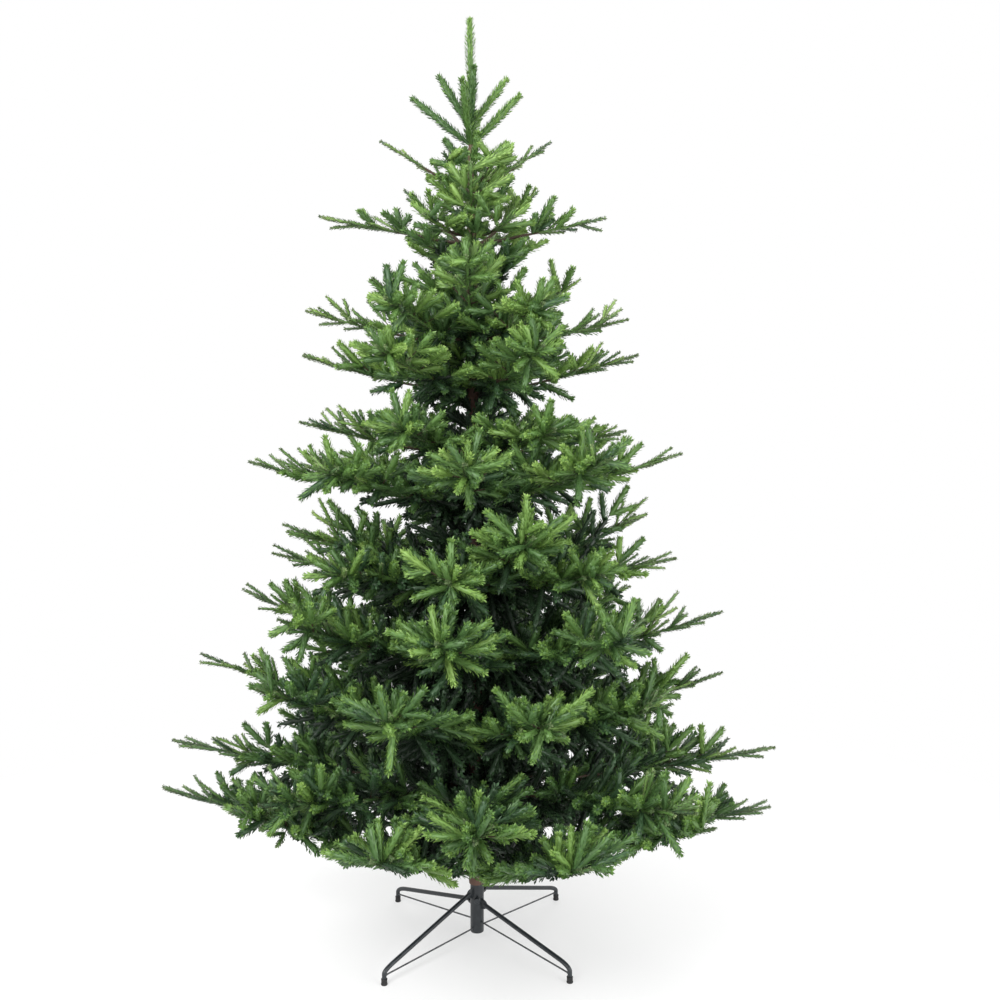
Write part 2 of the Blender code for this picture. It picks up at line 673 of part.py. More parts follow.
def build_mass(name, index, middle, azimuths, rng):
    """One mass of foliage: a stub that forks into limbs, with sprays of needles fused on."""
    whorl = WHORLS[index]
    space = Space(index, middle, 360 / whorl.masses)
    start = BARE_BOUGH if index == 0 else STUB_LENGTH
    slot = 360 / whorl.masses / whorl.forks
    pieces, taken = [], []
    plan = [(azimuth, whorl_reach(whorl, azimuth, rng), tip_height(whorl, azimuth)) for azimuth in azimuths]
    if whorl.upper:
        plan.append((middle, whorl.upper[1], whorl.upper[0]))
    for order, (azimuth, reach, tip_z) in enumerate(plan):
        limb = Limb(space, middle, azimuth, reach, start, tip_z)
        full = order < whorl.forks  # the upper bough has fewer teeth and sprays
        teeth, sprays = (whorl.teeth, whorl.sprays) if full else (2, whorl.sprays - 1)
        grown = grow_limb(limb, slot, rng, teeth, sprays, taken)
        taken += [BVHTree.FromPolygons(*piece) for piece in grown]
        pieces += grown
    inner = stub_start(whorl, middle)
    level = inner + outward(middle) * STUB_LEVEL
    fork = Limb(space, middle, middle, whorl.left, start, whorl.tip_z).point(0.0)
    ahead = fork + (fork - level).normalized() * STUB_LAP
    radii = (STUB_RADIUS, STUB_RADIUS, LIMB_ROOT_RADIUS)
    base = add_object(name, *swept((inner, level, ahead), radii, STUB_SIDES), "needles_dark")
    others = [add_object(f"{name}_piece_{order}", *piece, "needles_light") for order, piece in enumerate(pieces)]
    fuse(base, others)


def stub_start(whorl, middle):
    """Where a mass's stem begins: off its bough's tip, or off the trunk."""
    if whorl is WHORLS[0]:
        distance = BARE_BOUGH - STUB_LENGTH
        return trunk_axis(bough_height(whorl, distance)) + outward(middle) * (distance + CLEARANCE)
    return trunk_axis(whorl.root_z) + outward(middle) * (trunk_radius(whorl.root_z) + CLEARANCE)


def build_bough(name, whorl, middle):
    """A bare bough of the lowest whorl, from the trunk to the foot of its mass. Its ends are cut upright."""
    inner = trunk_radius(whorl.root_z) + CLEARANCE
    outer = BARE_BOUGH - STUB_LENGTH
    side = outward(middle)
    line = [
        trunk_axis(height) + side * distance
        for distance, height in (
            (inner, whorl.root_z),
            (inner + STUB_LEVEL, whorl.root_z),
            ((inner + outer) / 2, bough_height(whorl, (inner + outer) / 2)),
            (outer - STUB_LEVEL, bough_height(whorl, outer)),
            (outer, bough_height(whorl, outer)),
        )
    ]
    middle_radius = (BOUGH_ROOT_RADIUS + STUB_RADIUS) / 2
    radii = (BOUGH_ROOT_RADIUS, BOUGH_ROOT_RADIUS, middle_radius, STUB_RADIUS, STUB_RADIUS)
    add_object(name, *swept(line, radii, BOUGH_SIDES), "brown_wrap", smooth=True)


def build_whorls():
    """Every whorl's masses, and the bare boughs of the lowest."""
    for index, whorl in enumerate(WHORLS):
        turn = 360 / whorl.masses
        spread = turn / whorl.forks
        for mass in range(whorl.masses):
            azimuths = [whorl.front + turn * mass + spread * fork for fork in range(whorl.forks)]
            middle = sum(azimuths) / len(azimuths)
            rng = random.Random(SEED + 10 * index + mass)
            build_mass(f"foliage_{index + 1:02d}_{mass + 1}", index, middle, azimuths, rng)
            if index == 0:
                build_bough(f"bough_{mass + 1}", whorl, middle)


def build_top():
    """The leader above the trunk, with its two rings of slim shoots, as one mass."""
    stations = ((TRUNK_TOP_Z + CLEARANCE, trunk_radius(TRUNK_TOP_Z) * LEADER_FOOT), *LEADER)
    line = [trunk_axis(height) for height, _ in stations]
    radii = [radius for _, radius in stations]
    base = add_object("foliage_top", *swept(line, radii, LEADER_SIDES), "needles_light")
    shoots = []
    for ring in TOP_RINGS:
        for step in range(ring.count):
            azimuth = 360 * step / ring.count
            toward = math.cos(math.radians(azimuth))
            reach = (ring.left + ring.right) / 2 + (ring.right - ring.left) / 2 * toward
            tip = trunk_axis(ring.tip_z) + outward(azimuth) * reach
            root = trunk_axis(ring.root_z)
            along = tip - root
            flat = Vector((0, 0, 1))
            shoots.append(spray_mesh(root, along, flat, along.length, SHOOT_OUTLINE))
    others = [add_object(f"shoot_{order}", *shoot, "needles_light") for order, shoot in enumerate(shoots)]
    fuse(base, others)


def main():
    """Builds the whole tree."""
    clear_scene()
    build_stand()
    build_trunk()
    build_whorls()
    build_top()


main()
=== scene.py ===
"""Artificial Christmas tree: the looks of a layered spruce on a folding metal stand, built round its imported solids.

Everything is in metres, +Z up, in the frame of the solids. The camera side of the tree is -Y and its right side is
+X. Azimuths are in degrees, from +X towards +Y.
"""

from __future__ import annotations

import logging
import math
import random
from dataclasses import dataclass, field, replace
from enum import Enum
from typing import Iterable, Sequence

import bpy
import numpy as np
from mathutils import Matrix, Vector

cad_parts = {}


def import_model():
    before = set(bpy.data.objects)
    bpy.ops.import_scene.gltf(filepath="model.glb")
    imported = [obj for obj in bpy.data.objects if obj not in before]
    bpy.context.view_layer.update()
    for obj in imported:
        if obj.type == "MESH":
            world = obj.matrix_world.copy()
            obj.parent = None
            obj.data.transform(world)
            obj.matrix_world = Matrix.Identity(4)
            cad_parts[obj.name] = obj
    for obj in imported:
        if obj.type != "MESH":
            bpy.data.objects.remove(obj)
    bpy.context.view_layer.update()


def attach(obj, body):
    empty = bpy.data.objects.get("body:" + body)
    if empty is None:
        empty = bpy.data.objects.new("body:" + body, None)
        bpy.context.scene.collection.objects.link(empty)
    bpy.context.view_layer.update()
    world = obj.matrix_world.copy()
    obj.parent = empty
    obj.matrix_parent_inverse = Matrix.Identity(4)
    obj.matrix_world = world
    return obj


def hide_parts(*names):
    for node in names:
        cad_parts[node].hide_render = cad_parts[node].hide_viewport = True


LOG = logging.getLogger("tree")
BODY = "root"

TREE_HEIGHT = 2.10
TOP_LEAN = 0.013  # how far the tree's top stands left of its foot
SOURCE_SEED = 100  # gives the limbs the same reaches as in the solids
SEED = 11
GOLDEN_ANGLE = 137.5  # from each needle or twig to the next round a stem, in degrees
UP = Vector((0, 0, 1))

Colour = tuple[float, float, float]
Span = tuple[float, float]
Triple = Sequence[float]


def outward(azimuth: float) -> Vector:
    """The level direction of an azimuth."""
    angle = math.radians(azimuth)
    return Vector((math.cos(angle), math.sin(angle), 0.0))


def trunk_axis(height: float) -> Vector:
    """The middle of the leaning trunk at a height."""
    return Vector((-TOP_LEAN * height / TREE_HEIGHT, 0.0, height))


def between(first: float, second: float, share: float) -> float:
    """The number at a share of the way from the first to the second."""
    return first + (second - first) * share


def tipped(first: Vector, second: Vector, angle: float) -> Vector:
    """The first direction, turned towards the second by an angle in radians."""
    return first * math.cos(angle) + second * math.sin(angle)


def level_at(stations: Sequence[Span], place: float) -> float:
    """A value read from stations of rising place.

    Args:
        stations: Pairs of place and value.
        place: Where to read. Beyond the ends the last value holds.

    Returns:
        The value on the straight line between the nearest stations.
    """
    if place <= stations[0][0]:
        return stations[0][1]
    for (low, first), (high, second) in zip(stations, stations[1:]):
        if place <= high:
            return between(first, second, (place - low) / (high - low))
    return stations[-1][1]


class Value:
    """A number in a material's graph, which Python's operators work on."""

    def __init__(self, board: Board, socket: bpy.types.NodeSocket) -> None:
        """Keeps the socket and the board that it is on."""
        self.board = board
        self.socket = socket

    def maths(self, operation: str, first: Value | float, second: Value | float = 0.0) -> Value:
        """The result of a Math node.

        Args:
            operation: The node's operation.
            first: Its first number.
            second: Its second number.

        Returns:
            The node's output.
        """
        made = self.board.node("ShaderNodeMath", {"operation": operation}, {0: first, 1: second})
        return Value(self.board, made.outputs[0])

    def __add__(self, other: Value | float) -> Value:
        """Self plus the other."""
        return self.maths("ADD", self, other)

    def __radd__(self, other: Value | float) -> Value:
        """The other plus self."""
        return self.maths("ADD", other, self)

    def __sub__(self, other: Value | float) -> Value:
        """Self less the other."""
        return self.maths("SUBTRACT", self, other)

    def __rsub__(self, other: Value | float) -> Value:
        """The other less self."""
        return self.maths("SUBTRACT", other, self)

    def __mul__(self, other: Value | float) -> Value:
        """Self times the other."""
        return self.maths("MULTIPLY", self, other)

    def __rmul__(self, other: Value | float) -> Value:
        """The other times self."""
        return self.maths("MULTIPLY", other, self)

    def clipped(self) -> Value:
        """Self, kept between 0 and 1."""
        return self.maths("MINIMUM", self.maths("MAXIMUM", self, 0.0), 1.0)


class Board:
    """The graph of one material, with its Principled shader."""

    def __init__(self, name: str) -> None:
        """Makes the material."""
        self.material = bpy.data.materials.new(name)
        self.material.use_nodes = True
        self.tree = self.material.node_tree
        self.shader = self.tree.nodes["Principled BSDF"]

    def node(self, kind: str, settings: dict | None = None, sockets: dict | None = None) -> bpy.types.Node:
        """Adds a node.

        Args:
            kind: The node's type.
            settings: Its own settings, which are set first. stops are a ramp's (place, colour) pairs.
            sockets: What each input, by name or number, is set to or fed from.

        Returns:
            The node.
        """
        made = self.tree.nodes.new(kind)
        for name, value in (settings or {}).items():
            if name == "stops":
                self.set_stops(made.color_ramp, value)
            else:
                setattr(made, name, value)
        for name, value in (sockets or {}).items():
            self.feed(made.inputs[name], value)
        return made

    def set_stops(self, ramp: bpy.types.ColorRamp, stops: Sequence[tuple[float, Colour]]) -> None:
        """Gives a ramp its stops."""
        while len(ramp.elements) < len(stops):
            ramp.elements.new(1.0)
        for element, (place, colour) in zip(ramp.elements, stops):
            element.position = place
            element.color = (*colour, 1.0)

    def feed(self, entry: bpy.types.NodeSocket, value: Value | bpy.types.NodeSocket | float | Colour) -> None:
        """Sets an input, or links it where the value is an output."""
        if isinstance(value, Value):
            self.tree.links.new(value.socket, entry)
        elif isinstance(value, bpy.types.NodeSocket):
            self.tree.links.new(value, entry)
        elif isinstance(value, tuple) and entry.type == "RGBA":
            entry.default_value = (*value, 1.0)
        else:
            entry.default_value = value

    def dress(self, **sockets: Value | bpy.types.NodeSocket | float | Colour) -> bpy.types.Material:
        """Sets the shader's inputs, with _ for each space in their names, and gives the material."""
        for name, value in sockets.items():
            self.feed(self.shader.inputs[name.replace("_", " ")], value)
        return self.material

    def place(self) -> bpy.types.NodeSocket:
        """Where a point lies, in metres."""
        return self.node("ShaderNodeTexCoord").outputs["Object"]

    def stretched_place(self, scale: Triple) -> bpy.types.NodeSocket:
        """Where a point lies, with each axis scaled."""
        settings = {"operation": "MULTIPLY"}
        return self.node("ShaderNodeVectorMath", settings, {0: self.place(), 1: tuple(scale)}).outputs[0]

    def noise(self, scale: float, detail: float = 3.0, stretch: Triple = (1.0, 1.0, 1.0)) -> Value:
        """Noise over the surface.

        Args:
            scale: Its features per metre.
            detail: Finer layers.
            stretch: Extra scale of each axis.

        Returns:
            A number about 0.5.
        """
        sockets = {"Vector": self.stretched_place(stretch), "Scale": scale, "Detail": detail}
        return Value(self, self.node("ShaderNodeTexNoise", None, sockets).outputs[0])

    def blend(self, share: Value, first: Colour | bpy.types.NodeSocket, second: Colour) -> bpy.types.NodeSocket:
        """The colour at a share of the way from the first to the second."""
        made = self.node("ShaderNodeMix", {"data_type": "RGBA"}, {0: share, 6: first, 7: second})
        return made.outputs[2]

    def bump(self, height: Value, distance: float, strength: float = 1.0) -> bpy.types.NodeSocket:
        """A normal tipped by a height that varies over the surface."""
        sockets = {"Strength": strength, "Distance": distance, "Height": height}
        return self.node("ShaderNodeBump", None, sockets).outputs[0]


@dataclass(frozen=True)
class Green:
    """One plain colour of moulded needle."""

    name: str
    colour: Colour
    roughness: float = 0.50

    def material(self) -> bpy.types.Material:
        """A satin plastic in this colour."""
        return Board(self.name).dress(Base_Color=self.colour, Roughness=self.roughness)


GREENS = (  # from dark to light, by tone
    Green("green_deep", (0.012, 0.026, 0.013)),
    Green("green_shade", (0.022, 0.051, 0.020)),
    Green("green_blue", (0.040, 0.092, 0.036)),
    Green("green_forest", (0.064, 0.138, 0.038)),
    Green("green_mid", (0.098, 0.196, 0.047)),
    Green("green_fern", (0.145, 0.262, 0.057)),
    Green("green_fresh", (0.200, 0.335, 0.075)),
    Green("green_tip", (0.270, 0.415, 0.105)),
    Green("green_pale", (0.350, 0.500, 0.160)),
)
OLIVES = (  # the duller greens of the thin shoots, each for two of the others
    Green("olive_deep", (0.060, 0.088, 0.045)),
    Green("olive_mid", (0.125, 0.178, 0.075)),
    Green("olive_light", (0.225, 0.300, 0.125)),
    Green("olive_pale", (0.340, 0.430, 0.200)),
)


@dataclass(frozen=True)
class Wrap:
    """The brown tape that is wound round the trunk and the boughs."""

    name: str
    dark: Colour
    light: Colour

    def material(self) -> bpy.types.Material:
        """A dull, fibrous tape, with random patches and painted shade: darker where its fibre bump is low."""
        board = Board(self.name)
        fibre = board.noise(900.0, 4.0, (1.0, 1.0, 0.25))
        patch = board.noise(35.0, 2.0)
        # painted shade: the fibre noise that raises the bump also lightens the colour, so the low places are darker;
        # the patches are a random tone
        patches_and_fold_shade = (fibre * 0.55 + patch * 0.9 - 0.22).clipped()
        return board.dress(
            Base_Color=board.blend(patches_and_fold_shade, self.dark, self.light),
            Roughness=0.62 + fibre * 0.3,
            Normal=board.bump(fibre, 0.0006, 0.7),
        )


@dataclass(frozen=True)
class Mark:
    """Noise over a surface, as a number from 0 where it is clean to 1 where it is marked."""

    scale: float
    detail: float
    gain: float
    bias: float
    stretch: Triple = (1.0, 1.0, 1.0)

    def on(self, board: Board) -> Value:
        """The mark on a material's graph."""
        return (board.noise(self.scale, self.detail, self.stretch) * self.gain - self.bias).clipped()


@dataclass(frozen=True)
class Coat:
    """A hard plain surface that is paler and rougher where it is marked by dust, scuffs or wear.

    bump is the relief's height and strength. It follows the grain's noise, as (scale, detail), or else the mark.
    """

    name: str
    colour: Colour
    marked: Colour
    roughness: float
    rougher: float  # how much the mark adds to it
    mark: Mark
    strength: float = 1.0  # how much of the marked colour shows
    metallic: float = 0.0
    bump: Span | None = None
    grain: Span | None = None

    def material(self) -> bpy.types.Material:
        """The surface's material."""
        board = Board(self.name)
        marks = self.mark.on(board)
        if self.bump:
            relief = board.noise(*self.grain) if self.grain else marks
            board.dress(Normal=board.bump(relief, *self.bump))
        return board.dress(
            Base_Color=board.blend(marks * self.strength, self.colour, self.marked),
            Roughness=self.roughness + marks * self.rougher,
            Metallic=self.metallic,
        )


@dataclass(frozen=True)
class PaleFloor:
    """The studio's floor. It glows in part, more the further it is from the tree: far out it takes the backdrop's own
    white, so that no horizon shows, and near the tree the glow is painted light that lightens the tree's cast shadow.
    """

    name: str
    colour: Colour
    near: float
    far: float

    def material(self) -> bpy.types.Material:
        """A matt white that fades into the backdrop, with painted light from its glow under the tree."""
        board = Board(self.name)
        distance = board.node("ShaderNodeVectorMath", {"operation": "LENGTH"}, {0: board.place()}).outputs["Value"]
        # painted light: a near below 0 lets the floor glow in part even under the tree, which lightens the shadows
        # there
        share = ((Value(board, distance) - self.near) * (1.0 / (self.far - self.near))).clipped()
        glow = board.node("ShaderNodeEmission", None, {"Color": (1.0, 1.0, 1.0), "Strength": 1.0})
        mix = board.node("ShaderNodeMixShader", None, {0: share, 1: board.shader.outputs[0], 2: glow.outputs[0]})
        board.feed(board.tree.nodes["Material Output"].inputs["Surface"], mix.outputs[0])
        return board.dress(Base_Color=self.colour, Roughness=0.9)


TRUNK_WRAP = Wrap("wrap_trunk", (0.040, 0.020, 0.014), (0.165, 0.088, 0.062))
TWIG_WRAP = Wrap("wrap_twigs", (0.022, 0.016, 0.010), (0.085, 0.052, 0.030))
BLACK_PAINT = Coat(
    "paint_black", (0.0125, 0.0165, 0.0200), (0.055, 0.062, 0.068), roughness=0.34, rougher=0.22,
    mark=Mark(60.0, 5.0, 2.2, 0.95), strength=0.5, bump=(0.0002, 0.35), grain=(1400.0, 2.0),
)
BLACK_RUBBER = Coat(
    "rubber_black", (0.010, 0.010, 0.011), (0.045, 0.045, 0.046), roughness=0.72, rougher=0.2,
    mark=Mark(420.0, 4.0, 2.6, 1.2), bump=(0.0002, 0.5),
)
DARK_ROD = Coat(
    "rod_dark", (0.060, 0.064, 0.068), (0.200, 0.205, 0.210), roughness=0.36, rougher=0.2,
    mark=Mark(500.0, 3.0, 2.4, 1.0, (0.2, 0.2, 1.0)), metallic=0.65,
)
FLOOR = PaleFloor("floor_pale", (0.90, 0.90, 0.90), -1.6, 2.0)


@dataclass
class Stock:
    """Points and faces that are gathered for one mesh."""

    points: list[np.ndarray] = field(default_factory=list)
    faces: list[np.ndarray] = field(default_factory=list)
    slots: list[np.ndarray] = field(default_factory=list)
    count: int = 0

    def add(self, points: np.ndarray, faces: np.ndarray, slots: np.ndarray | int = 0) -> int:
        """Adds a piece.

        Args:
            points: Its points, one row each.
            faces: Its triangles or four-cornered faces, as rows of point numbers.
            slots: The material slot of each face, or of all.

        Returns:
            The number that its first point has here.
        """
        base = self.count
        self.points.append(np.asarray(points, float))
        self.count += len(points)
        self.join(base, faces, slots)
        return base

    def join(self, base: int, faces: np.ndarray, slots: np.ndarray | int = 0) -> None:
        """Adds faces on the points of a piece whose first point has this number."""
        self.faces.append(np.asarray(faces, int) + base)
        self.slots.append(np.broadcast_to(np.asarray(slots, int), (len(faces),)))

    def make(self, name: str, materials: Iterable[bpy.types.Material], smooth: bool = True) -> bpy.types.Object:
        """Makes the object.

        Args:
            name: The piece's name.
            materials: What fills its material slots.
            smooth: Whether faces are shaded as one surface where they meet at a low angle.

        Returns:
            The object, in the scene.
        """
        mesh = bpy.data.meshes.new(name)
        points = np.concatenate(self.points)
        corners = np.concatenate([faces.ravel() for faces in self.faces])
        totals = np.concatenate([np.full(len(faces), faces.shape[1]) for faces in self.faces])
        mesh.vertices.add(len(points))
        mesh.vertices.foreach_set("co", points.ravel().astype(np.float32))
        mesh.loops.add(len(corners))
        mesh.loops.foreach_set("vertex_index", corners.astype(np.int32))
        mesh.polygons.add(len(totals))
        mesh.polygons.foreach_set("loop_start", (np.cumsum(totals) - totals).astype(np.int32))
        mesh.polygons.foreach_set("material_index", np.concatenate(self.slots).astype(np.int32))
        mesh.update(calc_edges=True)
        for material in materials:
            mesh.materials.append(material)
        if smooth:
            mesh.shade_smooth()
            mesh.set_sharp_from_angle(angle=math.radians(42))
        made = bpy.data.objects.new(name, mesh)
        bpy.context.scene.collection.objects.link(made)
        return made


def tube_faces(rings: int, sides: int) -> np.ndarray:
    """Four-cornered faces between rings of points."""
    ring, side = np.meshgrid(np.arange(rings - 1), np.arange(sides), indexing="ij")
    after = (side + 1) % sides
    low, high = ring * sides, (ring + 1) * sides
    return np.stack([low + side, low + after, high + after, high + side], axis=-1).reshape(-1, 4)


def cap_faces(ring: int, sides: int, centre: int, outward_first: bool) -> np.ndarray:
    """Triangles from a ring of points to one point at its middle.

    Args:
        ring: The number of the ring.
        sides: Points in it.
        centre: The number of the middle point.
        outward_first: True at the tube's end, False at its start.

    Returns:
        The triangles.
    """
    side = np.arange(sides)
    first, second = ring * sides + side, ring * sides + (side + 1) % sides
    if not outward_first:
        first, second = second, first
    return np.stack([first, second, np.full(sides, centre)], axis=-1)


def end_faces(rings: int, sides: int) -> np.ndarray:
    """Triangles that close a tube's first and last rings, with the two middle points numbered after them."""
    start = rings * sides
    return np.vstack([cap_faces(0, sides, start, False), cap_faces(rings - 1, sides, start + 1, True)])


def frames_along(points: np.ndarray) -> tuple[np.ndarray, np.ndarray, np.ndarray]:
    """Directions along a line of points, and two across it that turn as little as they can.

    Args:
        points: The line, one row each.

    Returns:
        Along, across and the third direction, one row for each point.
    """
    along = np.gradient(points, axis=0)
    along /= np.linalg.norm(along, axis=1, keepdims=True)
    across = np.empty_like(along)
    guide = np.array((0.0, 0.0, 1.0)) if abs(along[0, 2]) < 0.9 else np.array((1.0, 0.0, 0.0))
    for index, forward in enumerate(along):
        guide = guide - forward * guide.dot(forward)
        guide /= np.linalg.norm(guide)
        across[index] = guide
    return along, across, np.cross(along, across)


def add_rings(stock: Stock, line: np.ndarray, radii: np.ndarray) -> None:
    """Adds a closed tube.

    Args:
        stock: What it is added to.
        line: Its middle line, one row for each point.
        radii: Its radius at each point of the line, in rows, and all the way round, in columns.
    """
    rings, sides = radii.shape
    _, across, other = frames_along(line)
    turn = np.arange(sides) * math.tau / sides
    ring = across[:, None, :] * np.cos(turn)[None, :, None] + other[:, None, :] * np.sin(turn)[None, :, None]
    body = (line[:, None, :] + ring * radii[:, :, None]).reshape(-1, 3)
    base = stock.add(np.vstack([body, line[:1], line[-1:]]), tube_faces(rings, sides))
    stock.join(base, end_faces(rings, sides))


def add_tube(stock: Stock, points: Iterable[Triple], radii: Iterable[float], sides: int) -> None:
    """Adds a closed round tube.

    Args:
        stock: What it is added to.
        points: Its middle line.
        radii: Its radius at each point.
        sides: Points round it.
    """
    line = np.array([tuple(point) for point in points])
    add_rings(stock, line, np.tile(np.array(list(radii))[:, None], (1, sides)))


def smooth_line(points: Sequence[Triple], step: float) -> np.ndarray:
    """A line through points, resampled at an even step on a smooth curve.

    Args:
        points: The line's own points.
        step: Distance between the new ones.

    Returns:
        The new points, one row each.
    """
    line = np.array([tuple(point) for point in points], float)
    first, last = 2 * line[0] - line[1], 2 * line[-1] - line[-2]
    ends = np.vstack([first, line, last])
    made = []
    for index in range(1, len(ends) - 2):
        before, start, end, after = ends[index - 1 : index + 3]
        count = max(1, round(float(np.linalg.norm(end - start)) / step))
        for share in np.arange(count) / count:
            made.append(
                0.5
                * (
                    2 * start
                    + (end - before) * share
                    + (2 * before - 5 * start + 4 * end - after) * share**2
                    + (3 * start - before - 3 * end + after) * share**3
                )
            )
    made.append(line[-1])
    return np.array(made)


@dataclass(frozen=True)
class Winding:
    """The relief of tape wound round a core: each turn laps over the one below with a soft edge."""

    pitch: float
    ridge: float
    uneven: float = 0.35

    LAP = 0.82  # the share of the pitch at which the tape's edge begins to fall

    def relief(self, along: np.ndarray, turn: np.ndarray) -> np.ndarray:
        """How far the surface stands out at places along and round the core."""
        phase = along / self.pitch - turn / math.tau
        wave = phase - np.floor(phase)
        lap = np.where(wave < self.LAP, wave / self.LAP, (1.0 - wave) / (1.0 - self.LAP))
        slow = np.sin(phase * 2.3 + 1.7 * np.sin(along * 61.0)) * np.cos(2 * turn + along * 47.0)
        return self.ridge * (lap + self.uneven * slow)


def add_wound_tube(stock: Stock, line: np.ndarray, radii: np.ndarray, sides: int, winding: Winding) -> None:
    """Adds a closed tube with the relief of its winding.

    Args:
        stock: What it is added to.
        line: Its middle line, with points closer together than the winding's pitch.
        radii: Its largest radius at each point.
        sides: Points round it.
        winding: The tape's relief, which is cut into that radius.
    """
    turn = np.arange(sides) * math.tau / sides
    travelled = np.concatenate([[0.0], np.cumsum(np.linalg.norm(np.diff(line, axis=0), axis=1))])
    relief = winding.relief(travelled[:, None], turn[None, :])
    add_rings(stock, line, radii[:, None] - winding.ridge * (1.0 + winding.uneven) + relief)


def add_turned(stock: Stock, profile: Sequence[Span], sides: int, place: Matrix) -> None:
    """Adds a shape turned round Z.

    Args:
        stock: What it is added to.
        profile: Pairs of radius and height, from the axis round to the axis.
        sides: Points round it.
        place: Where it goes.
    """
    inner = profile[1:-1]
    turn = np.arange(sides) * math.tau / sides
    rings = [np.stack([r * np.cos(turn), r * np.sin(turn), np.full(sides, z)], axis=-1) for r, z in inner]
    ends = np.array([(0.0, 0.0, profile[0][1]), (0.0, 0.0, profile[-1][1])])
    points = np.vstack([*rings, ends])
    turned = points @ np.array(place.to_3x3()).T + np.array(place.translation)
    stock.join(stock.add(turned, tube_faces(len(inner), sides)), end_faces(len(inner), sides))


def ride(piece: bpy.types.Object, nodes: Iterable[str] = ()) -> bpy.types.Object:
    """Fixes a piece to the tree's one body.

    Args:
        piece: The piece.
        nodes: The solids that it stands for.

    Returns:
        The piece.
    """
    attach(piece, BODY)
    nodes = list(nodes)
    if nodes:
        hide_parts(*nodes)
    triangles = sum(len(face.vertices) - 2 for face in piece.data.polygons)
    LOG.info("%s: %d triangles", piece.name, triangles)
    return piece


class ShootKind(Enum):
    """The kinds of finger-like shoot that carry the needles."""

    FULL = "full"  # plump, blunt and a little flat
    SLIM = "slim"  # the thin ends of the boughs
    ROUND = "round"  # upright on the leader, the same all round
    STRIP = "strip"  # plainer and dark, inside the tree, where they stand for painted shade


@dataclass(frozen=True)
class ShootPattern:
    """How needles stand on one kind of shoot. Lengths are in metres and leans in degrees from the stem."""

    spacing: float  # of needles along the stem
    needle: float
    width: float
    lean_root: float
    lean_tip: float
    flatness: float
    core: float  # largest radius of the green stem
    dome: int  # needles that close its blunt tip

    DOME_TURN = 62.0  # largest lean of those
    DOME_SIZE = 0.80  # of those, against the rest
    PAST_STEM = 0.70  # how far the last needles reach past the stem, as a share of their length
    ROOT_SIZE = 0.70  # of the first needles, against the longest
    WIDEST = 0.72  # the share of a needle where it is widest
    FOLD = 0.20  # how deep it is folded, as a share of its width
    TWIST = 0.30  # how far needles are turned on their own axis, in radians
    STEM_RINGS = ((0.0, 0.5), (0.30, 1.0), (0.86, 0.95))  # the green stem's shares of the length and of the core

    def needles(self, length: float, rng: np.random.Generator) -> tuple[np.ndarray, np.ndarray]:
        """Needles of one shoot, on a stem along X.

        Args:
            length: The shoot's length.
            rng: Where the unevenness comes from.

        Returns:
            The share of the stem at which each needle is rooted, and its four corners (root, left, tip, right)
            measured from there.
        """
        stem = length - self.needle * self.PAST_STEM
        rows = max(8, round(stem / self.spacing))
        count = rows + self.dome
        share = np.minimum((np.arange(count) + 0.5) / rows, 1.0)
        roll = np.arange(count) * math.radians(GOLDEN_ANGLE) + rng.normal(0.0, 0.25, count)
        lean = np.radians(self.lean_root + (self.lean_tip - self.lean_root) * share) * rng.normal(1.0, 0.10, count)
        turned = (np.arange(self.dome) + 0.5) / max(1, self.dome) * (1.0 - math.cos(math.radians(self.DOME_TURN)))
        lean[rows:] = np.arccos(1.0 - turned)
        grown = np.sin(np.minimum(share * 2.4, 1.0) * math.pi / 2)
        size = self.needle * (self.ROOT_SIZE + (1.0 - self.ROOT_SIZE) * grown)
        size[rows:] *= self.DOME_SIZE
        size = size * rng.normal(1.0, 0.05, count)
        out = np.stack([np.zeros(count), np.cos(roll), np.sin(roll) * self.flatness], axis=-1)
        out /= np.linalg.norm(out, axis=1, keepdims=True)
        direction = out * np.sin(lean)[:, None]
        direction[:, 0] = np.cos(lean)
        foot = out * (self.core * 0.75 * np.minimum(1.0, 4 * (1.0 - share)))[:, None]
        edge = np.cross(direction, out)
        edge /= np.linalg.norm(edge, axis=1, keepdims=True)
        face = np.cross(edge, direction)
        twist = rng.normal(0.0, self.TWIST, count)[:, None]
        edge = edge * np.cos(twist) + face * np.sin(twist)
        fold = np.cross(direction, edge) * (self.width * self.FOLD)
        half = edge * (self.width / 2)
        tip = direction * size[:, None]
        middle = tip * self.WIDEST
        corners = np.stack([np.zeros_like(tip), middle + half + fold, tip, middle - half + fold], axis=1)
        corners += foot[:, None, :]
        return share * stem / length, corners

    def stem_points(self, length: float) -> np.ndarray:
        """The green stem's points: three rings of four, and its tip."""
        points = [
            (length * along, self.core * size * y, self.core * size * z * self.flatness)
            for along, size in self.STEM_RINGS
            for y, z in ((1, 1), (-1, 1), (-1, -1), (1, -1))
        ]
        return np.array([*points, (length * 0.97, 0.0, 0.0)])


PATTERNS = {
    ShootKind.FULL: ShootPattern(0.00125, 0.0165, 0.0038, 36.0, 28.0, 0.70, 0.0056, 12),
    ShootKind.SLIM: ShootPattern(0.00160, 0.0105, 0.0030, 31.0, 25.0, 0.80, 0.0028, 5),
    ShootKind.ROUND: ShootPattern(0.00070, 0.0165, 0.0037, 35.0, 30.0, 1.0, 0.0058, 14),
    ShootKind.STRIP: ShootPattern(0.00260, 0.0165, 0.0052, 42.0, 34.0, 1.0, 0.0048, 4),
}


